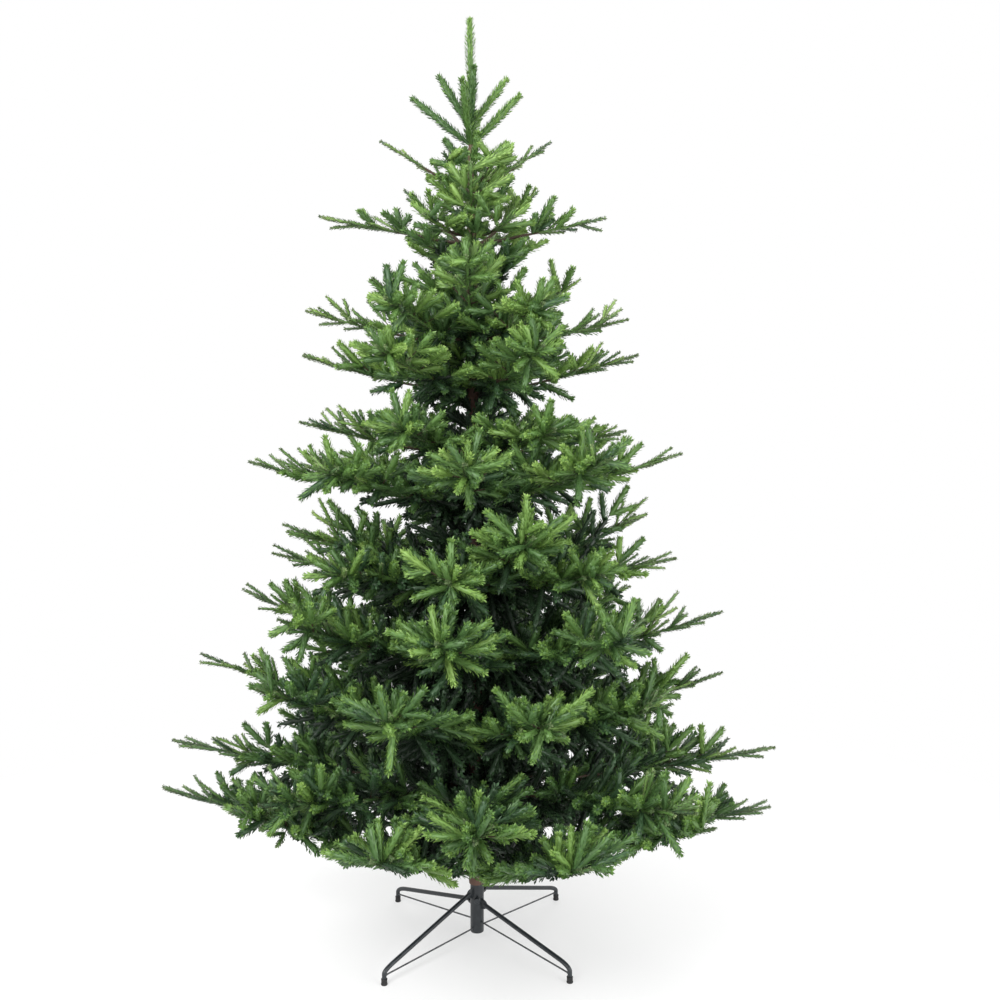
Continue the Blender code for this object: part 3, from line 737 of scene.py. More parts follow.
@dataclass
class Shoot:
    """One finger of needles."""

    root: Vector
    along: Vector
    flat: Vector  # near to the normal of its broad side
    length: float
    tone: float  # which green it centres on
    kind: ShootKind = ShootKind.FULL
    curl: Span = (0.0, 0.0)  # how far its tip bends sideways and up, as shares of its length

    def frame(self) -> tuple[np.ndarray, np.ndarray, np.ndarray]:
        """Its directions: along, across and normal."""
        along = self.along.normalized()
        across = self.flat.cross(along)
        if across.length < 1e-4:
            across = along.orthogonal()
        across.normalize()
        return np.array(along), np.array(across), np.array(along.cross(across))

    def placed(self, local: np.ndarray) -> np.ndarray:
        """Points of a straight shoot along X, bent by the curl and put in this one's place."""
        bent = local.copy()
        run = bent[..., 0] ** 2 / self.length
        bent[..., 1] += run * self.curl[0]
        bent[..., 2] += run * self.curl[1]
        return np.array(self.root) + bent @ np.stack(self.frame())


class NeedleBank:
    """Ready-made shoots of every kind and length, dealt out in turn."""

    STEP = 0.010  # between lengths
    VARIANTS = 6
    STEM_PAINTED_SHADE = 0.6  # how much darker the green stem is than its needles: painted shade of the depth between them
    ROOT_SHADE_SPREAD = 1.4  # how many tones lighter a shoot's tip is than its root: painted shade, darker towards the root, which lies deeper in the tree
    STRIP_ROOT_SHADE_SPREAD = 0.9  # the same painted shade on the dark ones inside the tree
    UNEVEN = 0.42  # of the tones of single needles
    LAST_DARK = 2  # the last green that thin shoots have too

    def __init__(self) -> None:
        """Starts with an empty bank."""
        self.rng = np.random.default_rng(SEED)
        self.made: dict[tuple[ShootKind, int], list[tuple[np.ndarray, np.ndarray]]] = {}

    def pick(self, kind: ShootKind, length: float) -> tuple[np.ndarray, np.ndarray]:
        """Needles for a shoot of about this length."""
        key = (kind, max(3, round(length / self.STEP)))
        if key not in self.made:
            nominal = key[1] * self.STEP
            self.made[key] = [PATTERNS[kind].needles(nominal, self.rng) for _ in range(self.VARIANTS)]
        return self.made[key][int(self.rng.integers(self.VARIANTS))]

    def slots(self, tone: np.ndarray | float, olive: bool = False) -> np.ndarray:
        """The nearest green for each tone, or where olive is set the duller one that stands for it."""
        greens = np.clip(np.round(tone), 0, len(GREENS) - 1).astype(int)
        if not olive:
            return greens
        olives = len(GREENS) + np.minimum((greens - self.LAST_DARK) // 2, len(OLIVES) - 1)
        return np.where(greens > self.LAST_DARK, olives, greens)

    def add(self, stock: Stock, shoot: Shoot) -> None:
        """Adds a shoot's needles to a stock, each in its own green, and its green stem."""
        share, corners = self.pick(shoot.kind, shoot.length)
        local = corners.copy()
        local[:, :, 0] += (share * shoot.length)[:, None]
        count = len(share)
        first = np.arange(count) * 4
        left = np.stack([first, first + 1, first + 2], axis=-1)
        right = np.stack([first, first + 2, first + 3], axis=-1)
        spread = self.STRIP_ROOT_SHADE_SPREAD if shoot.kind is ShootKind.STRIP else self.ROOT_SHADE_SPREAD
        # painted shade along each shoot, darker towards its root, and random unevenness of single needles
        tones = shoot.tone + (share - 0.50) * spread + self.rng.normal(0.0, self.UNEVEN, count)
        slots = self.slots(tones, shoot.kind is ShootKind.SLIM)
        stock.add(shoot.placed(local).reshape(-1, 3), np.vstack([left, right]), np.concatenate([slots, slots]))
        stem = shoot.placed(PATTERNS[shoot.kind].stem_points(shoot.length))
        # the stem takes a darker green than its needles: painted shade
        shade = int(self.slots(shoot.tone - self.STEM_PAINTED_SHADE))
        rings = len(ShootPattern.STEM_RINGS)
        base = stock.add(stem, tube_faces(rings, 4), shade)
        stock.join(base, cap_faces(rings - 1, 4, 4 * rings, True), shade)


@dataclass(frozen=True)
class Whorl:
    """One whorl of boughs, as in the solids.

    masses share the turn round the trunk, and each forks into some boughs. Tips reach left and right as far as
    stated, at tip_z, with the right ones higher by tilt and the left ones lower by it. front is the azimuth of the
    bough that comes nearest to the camera. lift bends a bough up towards its tip, spray is the length of its side
    branches, and upper is a shorter bough between the others, as (tip height, reach).
    """

    index: int
    root_z: float
    tip_z: float
    tilt: float
    left: float
    right: float
    front: float
    masses: int
    forks: int
    lift: float
    spray: float
    finger: float
    upper: Span | None = None

    @property
    def lowest(self) -> bool:
        """Whether it is the lowest whorl, which has bare boughs and is raised to the front and back."""
        return self.index == 0

    @property
    def high(self) -> bool:
        """Whether it is one of the two highest, whose boughs to the front and back are short."""
        return self.index >= len(WHORLS) - 2

    def turned_away(self, azimuth: float) -> float:
        """How far a bough turns from the two that point straight to the sides: 0 for those, 1 for most."""
        return min(1.0, 2 * abs(math.sin(math.radians(azimuth))))

    def facing(self, azimuth: float) -> float:
        """How far a bough shows its end and not its side: 0 for those near the sides, 1 near the front or back."""
        return min(1.0, max(0.0, (abs(math.sin(math.radians(azimuth))) - FACING_FROM) / FACING_RANGE))

    def reach(self, azimuth: float, rng: random.Random) -> float:
        """How far a bough at this azimuth reaches from the trunk's axis."""
        sideways = (self.left + self.right) / 2
        sideways += (self.right - self.left) / 2 * math.cos(math.radians(azimuth))
        away = self.turned_away(azimuth)
        shorter = SHORT_AT_TOP if self.high else SHORTER
        return sideways * (1 - (1 - shorter) * away) * (1 - rng.random() * EVEN_REACH * away)

    def tip_height(self, azimuth: float) -> float:
        """Height of the tip of a bough at this azimuth."""
        if self.high:
            share = 1 - (1 - SHORT_AT_TOP) * self.turned_away(azimuth)
            return self.height(share * (self.left + self.right) / 2)
        height = self.tip_z + self.tilt * math.cos(math.radians(azimuth))
        return height + (SHORTER_LIFT * self.turned_away(azimuth) if self.lowest else 0.0)

    def height(self, distance: float) -> float:
        """Height of the whorl's boughs at a distance from the axis."""
        rise = self.tip_z - self.root_z
        share = distance / ((self.left + self.right) / 2)
        if share <= 1:
            return self.root_z + rise * max(share, 0.0) ** self.lift
        return self.tip_z + rise * self.lift * (share - 1)

    def slot(self) -> float:
        """The turn that each bough has for itself, in degrees."""
        return 360 / self.masses / self.forks


SHORTER = 0.88  # reach of the boughs to the front and back, as a share of those to the sides
SHORT_AT_TOP = 0.60  # the same for the two highest whorls
SHORTER_LIFT = 0.080  # how much higher the tips of the lowest whorl are to the front and back
EVEN_REACH = 0.05  # most that a bough falls short at random, as a share
BARE_BOUGH = 0.170  # where the lowest whorl's bare boughs end, from the trunk's axis
STUB_LENGTH = 0.030  # where the other whorls' boughs begin to fork
FORK_SHARE = 0.30  # the share of a bough over which it swings out from its fork
FACING_FROM, FACING_RANGE = 0.25, 0.60  # of the sine of an azimuth, over which a bough comes to show its end
SUNK = 0.002  # how deep boughs and twigs are sunk into the trunk

WHORLS = (
    Whorl(0, 0.245, 0.340, -0.027, 0.722, 0.690, -72.0, 5, 2, 2.0, 0.200, 0.084),
    Whorl(1, 0.375, 0.467, -0.013, 0.698, 0.699, -90.0, 4, 2, 1.6, 0.190, 0.084),
    Whorl(2, 0.500, 0.657, -0.020, 0.640, 0.575, -74.0, 5, 2, 1.6, 0.185, 0.082),
    Whorl(3, 0.650, 0.803, -0.015, 0.575, 0.582, -98.0, 4, 2, 1.5, 0.180, 0.082),
    Whorl(4, 0.825, 0.905, 0.000, 0.495, 0.475, -97.0, 4, 2, 1.3, 0.165, 0.080, (0.990, 0.430)),
    Whorl(5, 1.020, 1.130, 0.010, 0.520, 0.480, -92.0, 4, 2, 1.4, 0.155, 0.078),
    Whorl(6, 1.130, 1.200, -0.010, 0.395, 0.355, -118.0, 2, 3, 1.3, 0.145, 0.074),
    Whorl(7, 1.270, 1.360, 0.000, 0.396, 0.382, -64.0, 3, 2, 1.3, 0.140, 0.072),
    Whorl(8, 1.375, 1.450, -0.010, 0.380, 0.356, -122.0, 3, 2, 1.3, 0.130, 0.070, (1.540, 0.275)),
    Whorl(9, 1.610, 1.667, 0.000, 0.341, 0.304, -120.0, 3, 2, 1.3, 0.120, 0.068, (1.745, 0.180)),
    Whorl(10, 1.710, 1.833, 0.000, 0.203, 0.180, -120.0, 2, 3, 1.0, 0.090, 0.062),
)

TRUNK_STATIONS = ((0.1363, 0.0187), (0.70, 0.0170), (1.39, 0.0150), (1.60, 0.0123), (1.80, 0.0072))


@dataclass
class Bough:
    """One bough of a whorl, from the trunk to its tip, on the line that the solids give it."""

    whorl: Whorl
    middle: float  # azimuth of the fork that it leaves
    azimuth: float
    reach: float
    tip_z: float
    upper: bool = False  # whether it is a shorter one between the others

    def __post_init__(self) -> None:
        """Works out where the bough leaves its fork, and how much higher it rises than its whorl's own line."""
        self.start = BARE_BOUGH if self.whorl.lowest else STUB_LENGTH
        self.raised = self.tip_z - self.whorl.height(self.reach)
        self.length = self.reach - self.start

    def point(self, share: float) -> Vector:
        """The point at a share of the bough's length."""
        swing = min(1.0, max(0.0, share) / FORK_SHARE)
        swing = swing * swing * (3 - 2 * swing)
        azimuth = between(self.middle, self.azimuth, swing)
        distance = self.start + self.length * share
        height = self.whorl.height(distance) + self.raised * share
        return trunk_axis(height) + outward(azimuth) * distance

    def directions(self, share: float) -> tuple[Vector, Vector, Vector]:
        """Forward, sideways and upward directions at a share."""
        forward = (self.point(share + 0.02) - self.point(share - 0.02)).normalized()
        sideways = UP.cross(forward).normalized()
        return forward, sideways, forward.cross(sideways)

    def inner_share(self) -> float:
        """The share, below 0, at which the bough meets the trunk."""
        return (level_at(TRUNK_STATIONS, self.whorl.root_z) - SUNK - self.start) / self.length


@dataclass
class Crown:
    """The needles, the dark needles inside that stand for painted shade, and the twigs of one whorl, as they grow."""

    bank: NeedleBank
    needles: Stock = field(default_factory=Stock)
    # dark needles inside the tree that stand for painted shade
    shade_strips: Stock = field(default_factory=Stock)
    twigs: Stock = field(default_factory=Stock)
    shoots: int = 0

    def add_shoot(self, shoot: Shoot) -> None:
        """Adds a finger of needles to the pieces of its kind."""
        self.shoots += 1
        self.bank.add(self.shade_strips if shoot.kind is ShootKind.STRIP else self.needles, shoot)

    def make(self, number: str, nodes: Iterable[str], bark: bpy.types.Material) -> None:
        """Makes the whorl's pieces.

        Args:
            number: The end of their names.
            nodes: The solids that they stand for.
            bark: The twigs' material.
        """
        ride(self.needles.make(f"needles_{number}", NEEDLE_MATERIALS, smooth=False), nodes)
        if self.shade_strips.count:
            ride(self.shade_strips.make(f"strips_{number}", NEEDLE_MATERIALS, smooth=False))
        ride(self.twigs.make(f"twigs_{number}", [bark]))
        LOG.info("whorl %s: %d shoots", number, self.shoots)


def room_within(place: Vector, along: Vector, reach: float) -> float:
    """How long a twig may be before it leaves a circle round the trunk.

    Args:
        place: Where it starts.
        along: Its direction.
        reach: The circle's radius.

    Returns:
        The length.
    """
    ahead = along.normalized()
    level = ahead.x**2 + ahead.y**2
    toward = place.x * ahead.x + place.y * ahead.y
    left = reach**2 - place.x**2 - place.y**2
    if left <= 0 or level < 1e-6:
        return 0.0 if left <= 0 else 1.0
    return (math.sqrt(toward**2 + level * left) - toward) / level


@dataclass(frozen=True)
class Fan:
    """How the side fingers of a branchlet stand, each as the least and the most."""

    angle: Span  # from its stem, in degrees
    lean: Span  # up from its plane
    size: Span  # against the finger at its end


FANS = {
    ShootKind.FULL: Fan((36, 58), (-0.22, 0.42), (0.74, 1.0)),
    ShootKind.SLIM: Fan((22, 36), (-0.12, 0.30), (0.55, 0.85)),
}


@dataclass
class Branchlet:
    """A side branch of a bough, which ends in a fan of fingers."""

    root: Vector
    along: Vector
    flat: Vector
    length: float
    finger: float
    tone: float
    kind: ShootKind = ShootKind.FULL

    SIDE_GAP = 0.030
    RADIUS = 0.0019
    SHORTEST = 0.040
    MOST_SIDES = 6
    SLEEVE = 0.060  # a stem longer than this has dark needles along it, as painted shade
    SHORT_STEM = 0.015  # with less, it is a single finger
    CURL = (-0.10, 0.10)

    def grow(self, crown: Crown, rng: random.Random) -> None:
        """Adds the branchlet's stem and its fingers to the crown."""
        if self.length < self.SHORTEST:
            return
        along = self.along.normalized()
        across = self.flat.cross(along).normalized()
        normal = along.cross(across)
        finger = self.finger * rng.uniform(0.82, 1.12)
        stem = self.length - finger * 0.95
        if stem < self.SHORT_STEM:
            length = min(self.length, finger * 1.1)
            curl = (rng.uniform(*self.CURL), rng.uniform(-0.05, 0.12))
            tone = self.tone + rng.gauss(0, 0.7)
            crown.add_shoot(Shoot(self.root, along, normal, length, tone, self.kind, curl))
            return
        rise = rng.uniform(-0.02, 0.16)
        line = [self.root + along * (stem * share) + normal * (stem * rise * share**2) for share in (0, 0.5, 1)]
        add_tube(crown.twigs, line, [self.RADIUS * size for size in (1.0, 0.75, 0.55)], 4)
        ahead = (along + normal * (2 * rise)).normalized()
        curl = (rng.uniform(*self.CURL), rng.uniform(-0.04, 0.10))
        # the end finger takes a lighter green than the branchlet: painted light at its outer end
        crown.add_shoot(Shoot(line[-1], ahead, normal, finger, self.tone + rng.gauss(0.5, 0.6), self.kind, curl))
        if stem > self.SLEEVE:
            # painted shade: dark needles along a long stem
            sleeve = Shoot(self.root, along, normal, stem * 0.9, rng.uniform(0.6, 1.8), ShootKind.STRIP)
            crown.add_shoot(sleeve)
        fan = FANS[self.kind]
        count = min(self.MOST_SIDES, max(2, round(stem / self.SIDE_GAP) + 1))
        hand = rng.choice((-1, 1))
        for step in range(count):
            share = 1.0 - (0.05 + step) * self.SIDE_GAP * 0.75 / stem
            if share < 0.08:
                break
            place = self.root + along * (stem * share) + normal * (stem * rise * share**2)
            angle = math.radians(rng.uniform(*fan.angle))
            lean = normal * rng.uniform(*fan.lean)
            length = finger * rng.uniform(*fan.size)
            curl = (-hand * rng.uniform(-0.02, 0.16), rng.uniform(-0.06, 0.10))
            # painted shade: side fingers nearer the stem's root take darker greens
            tone = self.tone + rng.gauss(0, 0.7) - 0.7 * (1 - share)
            toward = tipped(ahead, across * hand, angle) + lean
            crown.add_shoot(Shoot(place, toward, normal, length, tone, self.kind, curl))
            hand = -hand


USUAL_DROOP = (-0.08, 0.22)  # how far side branches rise, as tangents


@dataclass(frozen=True)
class Dress:
    """What the boughs of one whorl carry. A span is the least and the most of what is drawn at random."""

    droop: Span = USUAL_DROOP  # how far side branches rise, on the boughs to the sides
    inner_kind: ShootKind | None = ShootKind.STRIP  # of the dark fingers inside the tree, which stand for painted shade
    inner_size: float = 1.0  # of those, against the low whorls
    inner_end: float = 1.0  # the share of a bough by which they end
    inner_lighter: float = 0.0  # how many tones lighter than there they are, so with less painted shade
    inner_rolls: tuple[float, ...] = (0.0, 120.0, 240.0)  # where they stand round a bough
    root_rolls: tuple[float, ...] = (0.0, 80.0, 150.0, 210.0, 280.0)  # the same close to the trunk
    inner_jitter: float = 40.0
    slim_size: float = 0.75  # of thin branchlets, against plump ones
    upright_end: float = 1.0  # where the branchlets above a bough end, against the usual place
    side_uprights: float = 1.0  # their size on the boughs to the sides
    upper_uprights: float = 1.0  # their size on the upper bough, which has none at 0
    hanging: bool = False  # whether some branchlets grow below a bough
    rosette_tone: float = 4.1
    end_roll: float = -40.0  # the least roll of the shoots at a bough's end
    core_span: Span | None = None  # heights with twigs round the trunk, if they don't go up to the next whorl
    core_gap: float = 0.0048  # height between those
    core_tilt: Span = (16.0, 42.0)
    core_length: Span = (0.11, 0.17)  # of dark ones, which stand for painted shade round the trunk
    core_spray: Span | None = None  # of green ones that take their place, as shares of the side branches' length


LOW = Dress(hanging=True)
LOWEST = Dress(
    inner_rolls=(-65.0, 0.0, 65.0),
    root_rolls=(-65.0, 0.0, 65.0),
    inner_jitter=18.0,
    side_uprights=0.65,
    rosette_tone=4.5,
    end_roll=-5.0,
)
MIDDLE = Dress(inner_size=0.72, inner_end=0.34, core_length=(0.07, 0.11))
UPPER = replace(MIDDLE, inner_kind=ShootKind.FULL, inner_lighter=1.4)
HIGH = replace(UPPER, core_gap=0.008, core_spray=(0.85, 1.10))
HIGHEST = replace(HIGH, inner_kind=None, slim_size=0.55)

DRESSES = (  # in the order of the whorls
    LOWEST,
    replace(LOW, droop=(-0.22, 0.14)),
    replace(LOW, droop=(0.08, 0.38)),
    replace(LOW, droop=(0.32, 0.64)),
    replace(LOW, droop=(-0.30, 0.08), upper_uprights=1.3),
    replace(MIDDLE, hanging=True),
    replace(UPPER, droop=(0.25, 0.55)),
    HIGH,
    replace(HIGH, upper_uprights=0.0, core_span=(1.420, 1.570), core_tilt=(10.0, 36.0), core_spray=(1.15, 1.60)),
    replace(HIGHEST, droop=(0.35, 0.70), upright_end=0.7, core_span=(1.655, 1.735)),
    replace(HIGHEST, core_span=(1.750, 1.750)),
)
SLIM_FROM = ((5, 0.45), (8, 0.35), (9, 0.42), (10, -0.20))  # the share of a bough where thin shoots begin, by whorl
SHADE_TONES = (0.0, 1.8)  # of the fingers inside the tree, dark as painted shade


@dataclass
class Tier:
    """All the boughs of one whorl, dressed with twigs and needles. Angles are in degrees."""

    whorl: Whorl
    bank: NeedleBank
    node_gap: float = 0.052  # between the branchlets of a bough's outer part
    inner_gap: float = 0.042  # between the dark fingers of its inner part, which stand for painted shade
    inner_start: float = 0.030  # how far from the trunk's axis those begin
    inner_length: Span = (0.080, 0.130)
    outer_start: float = 0.085  # how far from the trunk's axis the branchlets begin at least
    sleeve_gap: float = 0.075  # length of each piece of a bough's own sleeve of needles
    end_gap: float = 0.022  # between the shoots at a bough's end
    shortest: float = 0.035  # finger of needles
    side_angles: Span = (56.0, 24.0)  # of side branches, at the trunk and at the bough's end
    wide_angles: Span = (70.0, 60.0)  # the same on the boughs that point to the front and back
    up_lift: Span = (0.25, 0.60)  # how far every third side branch rises
    lowest_side_lift: Span = (0.26, 0.54)  # how far those of the lowest whorl rise on the boughs to the sides
    hanging_odds: float = 0.45
    rosette: int = 10  # fingers behind the end of a bough to the front or back
    rosette_reach: float = 0.25  # a shorter bough has none
    rosette_spreads: Span = (132.0, 78.0)  # half the turn that it takes in the lowest whorl, on its left and right
    upright_reach: float = 0.28  # a shorter bough has no branchlets above it
    wood: Span = (0.0048, 0.0016)  # radius of a bough at the trunk and at its end
    wood_end: float = 0.90  # the share of a bough that its own wood reaches
    winding: Winding = Winding(0.021, 0.0006)

    def __post_init__(self) -> None:
        """Looks up what the whorl's boughs carry, and sets its painted light: how many tones lighter than usual its
        greens are, more the higher it stands and below 0 low down.
        """
        self.dress = DRESSES[self.whorl.index]
        # painted light: higher whorls take lighter greens and the lowest darker ones
        self.painted_height_light = self.whorl.root_z * 1.40 - 0.50

    def boughs(self) -> list[Bough]:
        """The whorl's boughs, with the reaches that the solids have."""
        whorl, made = self.whorl, []
        turn = 360 / whorl.masses
        for mass in range(whorl.masses):
            rng = random.Random(SOURCE_SEED + 10 * whorl.index + mass)
            azimuths = [whorl.front + turn * mass + whorl.slot() * fork for fork in range(whorl.forks)]
            middle = sum(azimuths) / len(azimuths)
            for azimuth in azimuths:
                made.append(Bough(whorl, middle, azimuth, whorl.reach(azimuth, rng), whorl.tip_height(azimuth)))
            if whorl.upper:
                made.append(Bough(whorl, middle, middle, whorl.upper[1], whorl.upper[0], True))
        return made

    def grow_wood(self, crown: Crown, bough: Bough) -> None:
        """Adds a bough's own wood, wound with tape."""
        shares = np.linspace(bough.inner_share(), self.wood_end, 9)
        line = smooth_line([bough.point(share) for share in shares], 0.0065)
        add_wound_tube(crown.twigs, line, np.linspace(*self.wood, len(line)), 7, self.winding)

    def side_length(self, bough: Bough, share: float, angle: float) -> float:
        """How long a side branch may be at a share of the bough, so that it keeps to its own slice."""
        distance = bough.start + bough.length * share
        slim = between(0.42, 0.66, self.whorl.facing(bough.azimuth))
        full = self.whorl.spray * between(1.05, slim, share)
        room = distance * math.tan(math.radians(self.whorl.slot() / 2)) * 1.6 / math.sin(angle)
        return min(full, room)

    def grow_inside(self, crown: Crown, bough: Bough, last: float, rng: random.Random) -> None:
        """Fills a bough's inner part with dark fingers, which stand for painted shade.

        Args:
            crown: What they are added to.
            bough: The bough.
            last: The share of the bough where they end at the latest.
            rng: Where the unevenness comes from.
        """
        dress = self.dress
        if not dress.inner_kind:
            return
        first, last = (self.inner_start - bough.start) / bough.length, min(last, dress.inner_end)
        count = max(2, round((last - first) * bough.length / self.inner_gap))
        for step in range(count + 1):
            share = between(first, last, (step + rng.uniform(-0.3, 0.3)) / count)
            forward, sideways, upward = bough.directions(share)
            place = bough.point(share)
            for roll in dress.inner_rolls if step > 2 else dress.root_rolls:
                turn = math.radians(roll + rng.uniform(-dress.inner_jitter, dress.inner_jitter))
                angle = math.radians(rng.uniform(35, 70))
                along = tipped(forward, tipped(upward, sideways, turn), angle)
                length = rng.uniform(*self.inner_length) * dress.inner_size
                length = min(length, 0.7 * room_within(place, along, bough.reach))
                if length > self.shortest:
                    # painted shade: dark fingers, darker near the trunk and lighter further out along the bough
                    tone = rng.uniform(*SHADE_TONES) + 1.2 * share + dress.inner_lighter
                    crown.add_shoot(Shoot(place, along, upward, length, tone, dress.inner_kind))

    def grow_outside(self, crown: Crown, bough: Bough, first: float, rng: random.Random) -> None:
        """Adds the branchlets along a bough's outer part.

        Args:
            crown: What they are added to.
            bough: The bough.
            first: The share of the bough where they begin.
            rng: Where the unevenness comes from.
        """
        facing = self.whorl.facing(bough.azimuth)
        last = between(0.78, 0.88, facing)
        highest = self.uprights_end(bough, facing)
        tilt = between(0.3, 0.8, facing)
        count = max(2, round((last - first) * bough.length / self.node_gap))
        for step in range(count + 1):
            share = between(first, last, (step + rng.uniform(-0.2, 0.2)) / count)
            forward, sideways, upward = bough.directions(share)
            place = bough.point(share)
            # painted shade: branchlets near the trunk take darker greens than those far out
            tone = between(2.4, 4.0, share) + self.painted_height_light + rng.gauss(0, 0.6)
            for hand in (-1, 1):
                angle = between(between(*self.side_angles, share), between(*self.wide_angles, share), facing)
                angle = math.radians(angle + rng.uniform(-10, 10))
                lift = rng.uniform(*(self.lifts(facing) if (step + hand) % 3 else self.up_lift))
                if self.whorl.lowest:
                    lift = rng.uniform(*self.lowest_lifts(bough.azimuth, facing))
                along = tipped(forward, sideways * hand, angle) + upward * lift
                flat = upward + sideways * rng.uniform(-tilt, tilt)
                length = self.side_length(bough, share, angle) * rng.uniform(0.74, 1.04)
                length = min(length, room_within(place, along, bough.reach))
                kind = self.pick_kind(facing, share, rng)
                if kind is ShootKind.SLIM:
                    length *= self.dress.slim_size
                Branchlet(place, along, flat, length, self.whorl.finger, tone, kind).grow(crown, rng)
            if share <= highest:
                self.grow_upright(crown, bough, share, tone, rng)

    def uprights_end(self, bough: Bough, facing: float) -> float:
        """The share of a bough up to which branchlets grow above it, or 0 where none do."""
        if bough.reach <= self.upright_reach or bough.upper and not self.dress.upper_uprights:
            return 0.0
        return between(0.76, 0.88, facing) * self.dress.upright_end

    def lifts(self, facing: float) -> Span:
        """The least and the most that side branches rise."""
        low, high = (between(side, usual, facing) for side, usual in zip(self.dress.droop, USUAL_DROOP))
        return low, high

    def lowest_lifts(self, azimuth: float, facing: float) -> Span:
        """The least and the most that side branches of the lowest whorl rise. Those on its left hang lower."""
        if facing < 0.5:
            return self.lowest_side_lift
        toward = math.cos(math.radians(azimuth))
        return 0.20 * toward - 0.10, 0.16 * toward + 0.14

    def pick_kind(self, facing: float, share: float, rng: random.Random) -> ShootKind:
        """Slim shoots for most places far out on the boughs that point to the sides, plump ones elsewhere."""
        slim = (1.0 - facing) * (share - level_at(SLIM_FROM, self.whorl.index)) / 0.35
        return ShootKind.SLIM if rng.random() < slim else ShootKind.FULL

    def grow_upright(self, crown: Crown, bough: Bough, share: float, tone: float, rng: random.Random) -> None:
        """Adds a branchlet above a bough, and at some places one below."""
        forward, sideways, upward = bough.directions(share)
        place = bough.point(share)
        facing = self.whorl.facing(bough.azimuth)
        angle = math.radians(rng.uniform(22, between(42, 62, facing)))
        roll = rng.uniform(-0.7, 0.7)
        along = tipped(forward, (upward + sideways * roll).normalized(), angle)
        size = rng.uniform(between(0.55, 0.42, facing), between(0.86, 0.60, facing)) * between(1.1, 0.8, share)
        if facing < 0.5:
            size *= self.dress.side_uprights
        if bough.upper:
            size *= self.dress.upper_uprights
        length = min(self.whorl.spray * size, room_within(place, along, bough.reach))
        kind = self.pick_kind(facing, share, rng)
        flat = sideways + upward * roll
        # painted light: a branchlet above the bough takes a lighter green
        Branchlet(place, along, flat, length, self.whorl.finger, tone + 0.3, kind).grow(crown, rng)
        if rng.random() < self.hanging_odds and self.dress.hanging:
            angle = math.radians(rng.uniform(30, 60))
            roll = rng.uniform(-0.9, 0.9)
            along = tipped(forward, (sideways * roll - upward).normalized(), angle)
            length = min(self.whorl.spray * rng.uniform(0.28, 0.42), room_within(place, along, bough.reach))
            # painted shade: a branchlet below the bough takes a darker green
            Branchlet(place, along, sideways, length, self.whorl.finger, tone - 0.6).grow(crown, rng)

    def grow_rosette(self, crown: Crown, bough: Bough, rng: random.Random) -> None:
        """Adds an open rosette of fingers behind the end of a bough that points to the front or back."""
        facing = self.whorl.facing(bough.azimuth)
        count = round(between(0, self.rosette, facing)) if bough.reach > self.rosette_reach else 0
        start = rng.uniform(0, 360)
        for step in range(count):
            share = rng.uniform(0.74, 0.94)
            forward, sideways, upward = bough.directions(share)
            turn = math.radians(start + 360 * step / count + rng.uniform(-14, 14))
            if self.whorl.lowest:
                spread = between(*self.rosette_spreads, 0.5 + 0.5 * math.cos(math.radians(bough.azimuth)))
                turn = math.radians(between(-spread, spread, (step + 0.5) / count) + rng.uniform(-8, 8))
            angle = math.radians(rng.uniform(40, 80))
            out = sideways * math.sin(turn) + upward * (math.cos(turn) + 0.25)
            along = tipped(forward, out.normalized(), angle)
            place = bough.point(share)
            length = min(self.whorl.finger * rng.uniform(0.80, 1.25), room_within(place, along, bough.reach))
            if length > self.shortest:
                curl = (rng.uniform(-0.10, 0.10), rng.uniform(-0.10, 0.10))
                # with part of the whorl's painted light of its height
                tone = self.dress.rosette_tone + 0.4 * self.painted_height_light + rng.gauss(0, 0.9)
                crown.add_shoot(Shoot(place, along, forward, length, tone, curl=curl))

    def grow_end(self, crown: Crown, bough: Bough, rng: random.Random) -> None:
        """Adds the slim shoot at a bough's end, and those that stand to both sides behind it."""
        facing = self.whorl.facing(bough.azimuth)
        forward, sideways, upward = bough.directions(0.97)
        length = min(0.095, 0.20 * bough.length + 0.03)
        root = bough.point(1.0) - forward * length
        crown.add_shoot(Shoot(root, forward, upward, length, 3.4 + rng.gauss(0, 0.5), ShootKind.SLIM))
        for order in range(max(5, round(0.42 * bough.length / self.end_gap))):
            hand = -1 if order % 2 else 1
            angle = math.radians(rng.uniform(16, 34))
            roll = math.radians(rng.uniform(self.dress.end_roll, 65))
            along = tipped(forward, tipped(sideways * hand, upward, roll), angle)
            place = bough.point(1.0 - (length * 0.80 + self.end_gap * order) / bough.length)
            side = min(length * rng.uniform(0.60, 0.88), room_within(place, along, bough.reach))
            kind = ShootKind.SLIM if order < 4 else self.pick_kind(facing, 0.70, rng)
            if side > 0.030:
                # with part of the whorl's painted light of its height
                tone = 3.7 + 0.4 * self.painted_height_light + rng.gauss(0, 0.8)
                crown.add_shoot(Shoot(place, along, upward, side, tone, kind))

    def grow_sleeve(self, crown: Crown, bough: Bough, first: float, rng: random.Random) -> None:
        """Clothes a bough's own outer part with short needles."""
        count = max(1, round((1.0 - first) * bough.length / self.sleeve_gap))
        for step in range(count):
            share = between(first, 1.0, step / count)
            forward, _, upward = bough.directions(share)
            # painted shade: the sleeve is darker near the trunk than far out
            tone = between(2.6, 3.6, share) + self.painted_height_light + rng.gauss(0, 0.4)
            length = min(self.sleeve_gap * 1.25, (1.0 - share) * bough.length)
            crown.add_shoot(Shoot(bough.point(share), forward, upward, length, tone, ShootKind.SLIM))

    def core_heights(self) -> Span:
        """The lowest and the highest place for twigs round the trunk."""
        if self.dress.core_span:
            return self.dress.core_span
        return self.whorl.root_z, between(self.whorl.root_z, WHORLS[self.whorl.index + 1].root_z, 0.95)

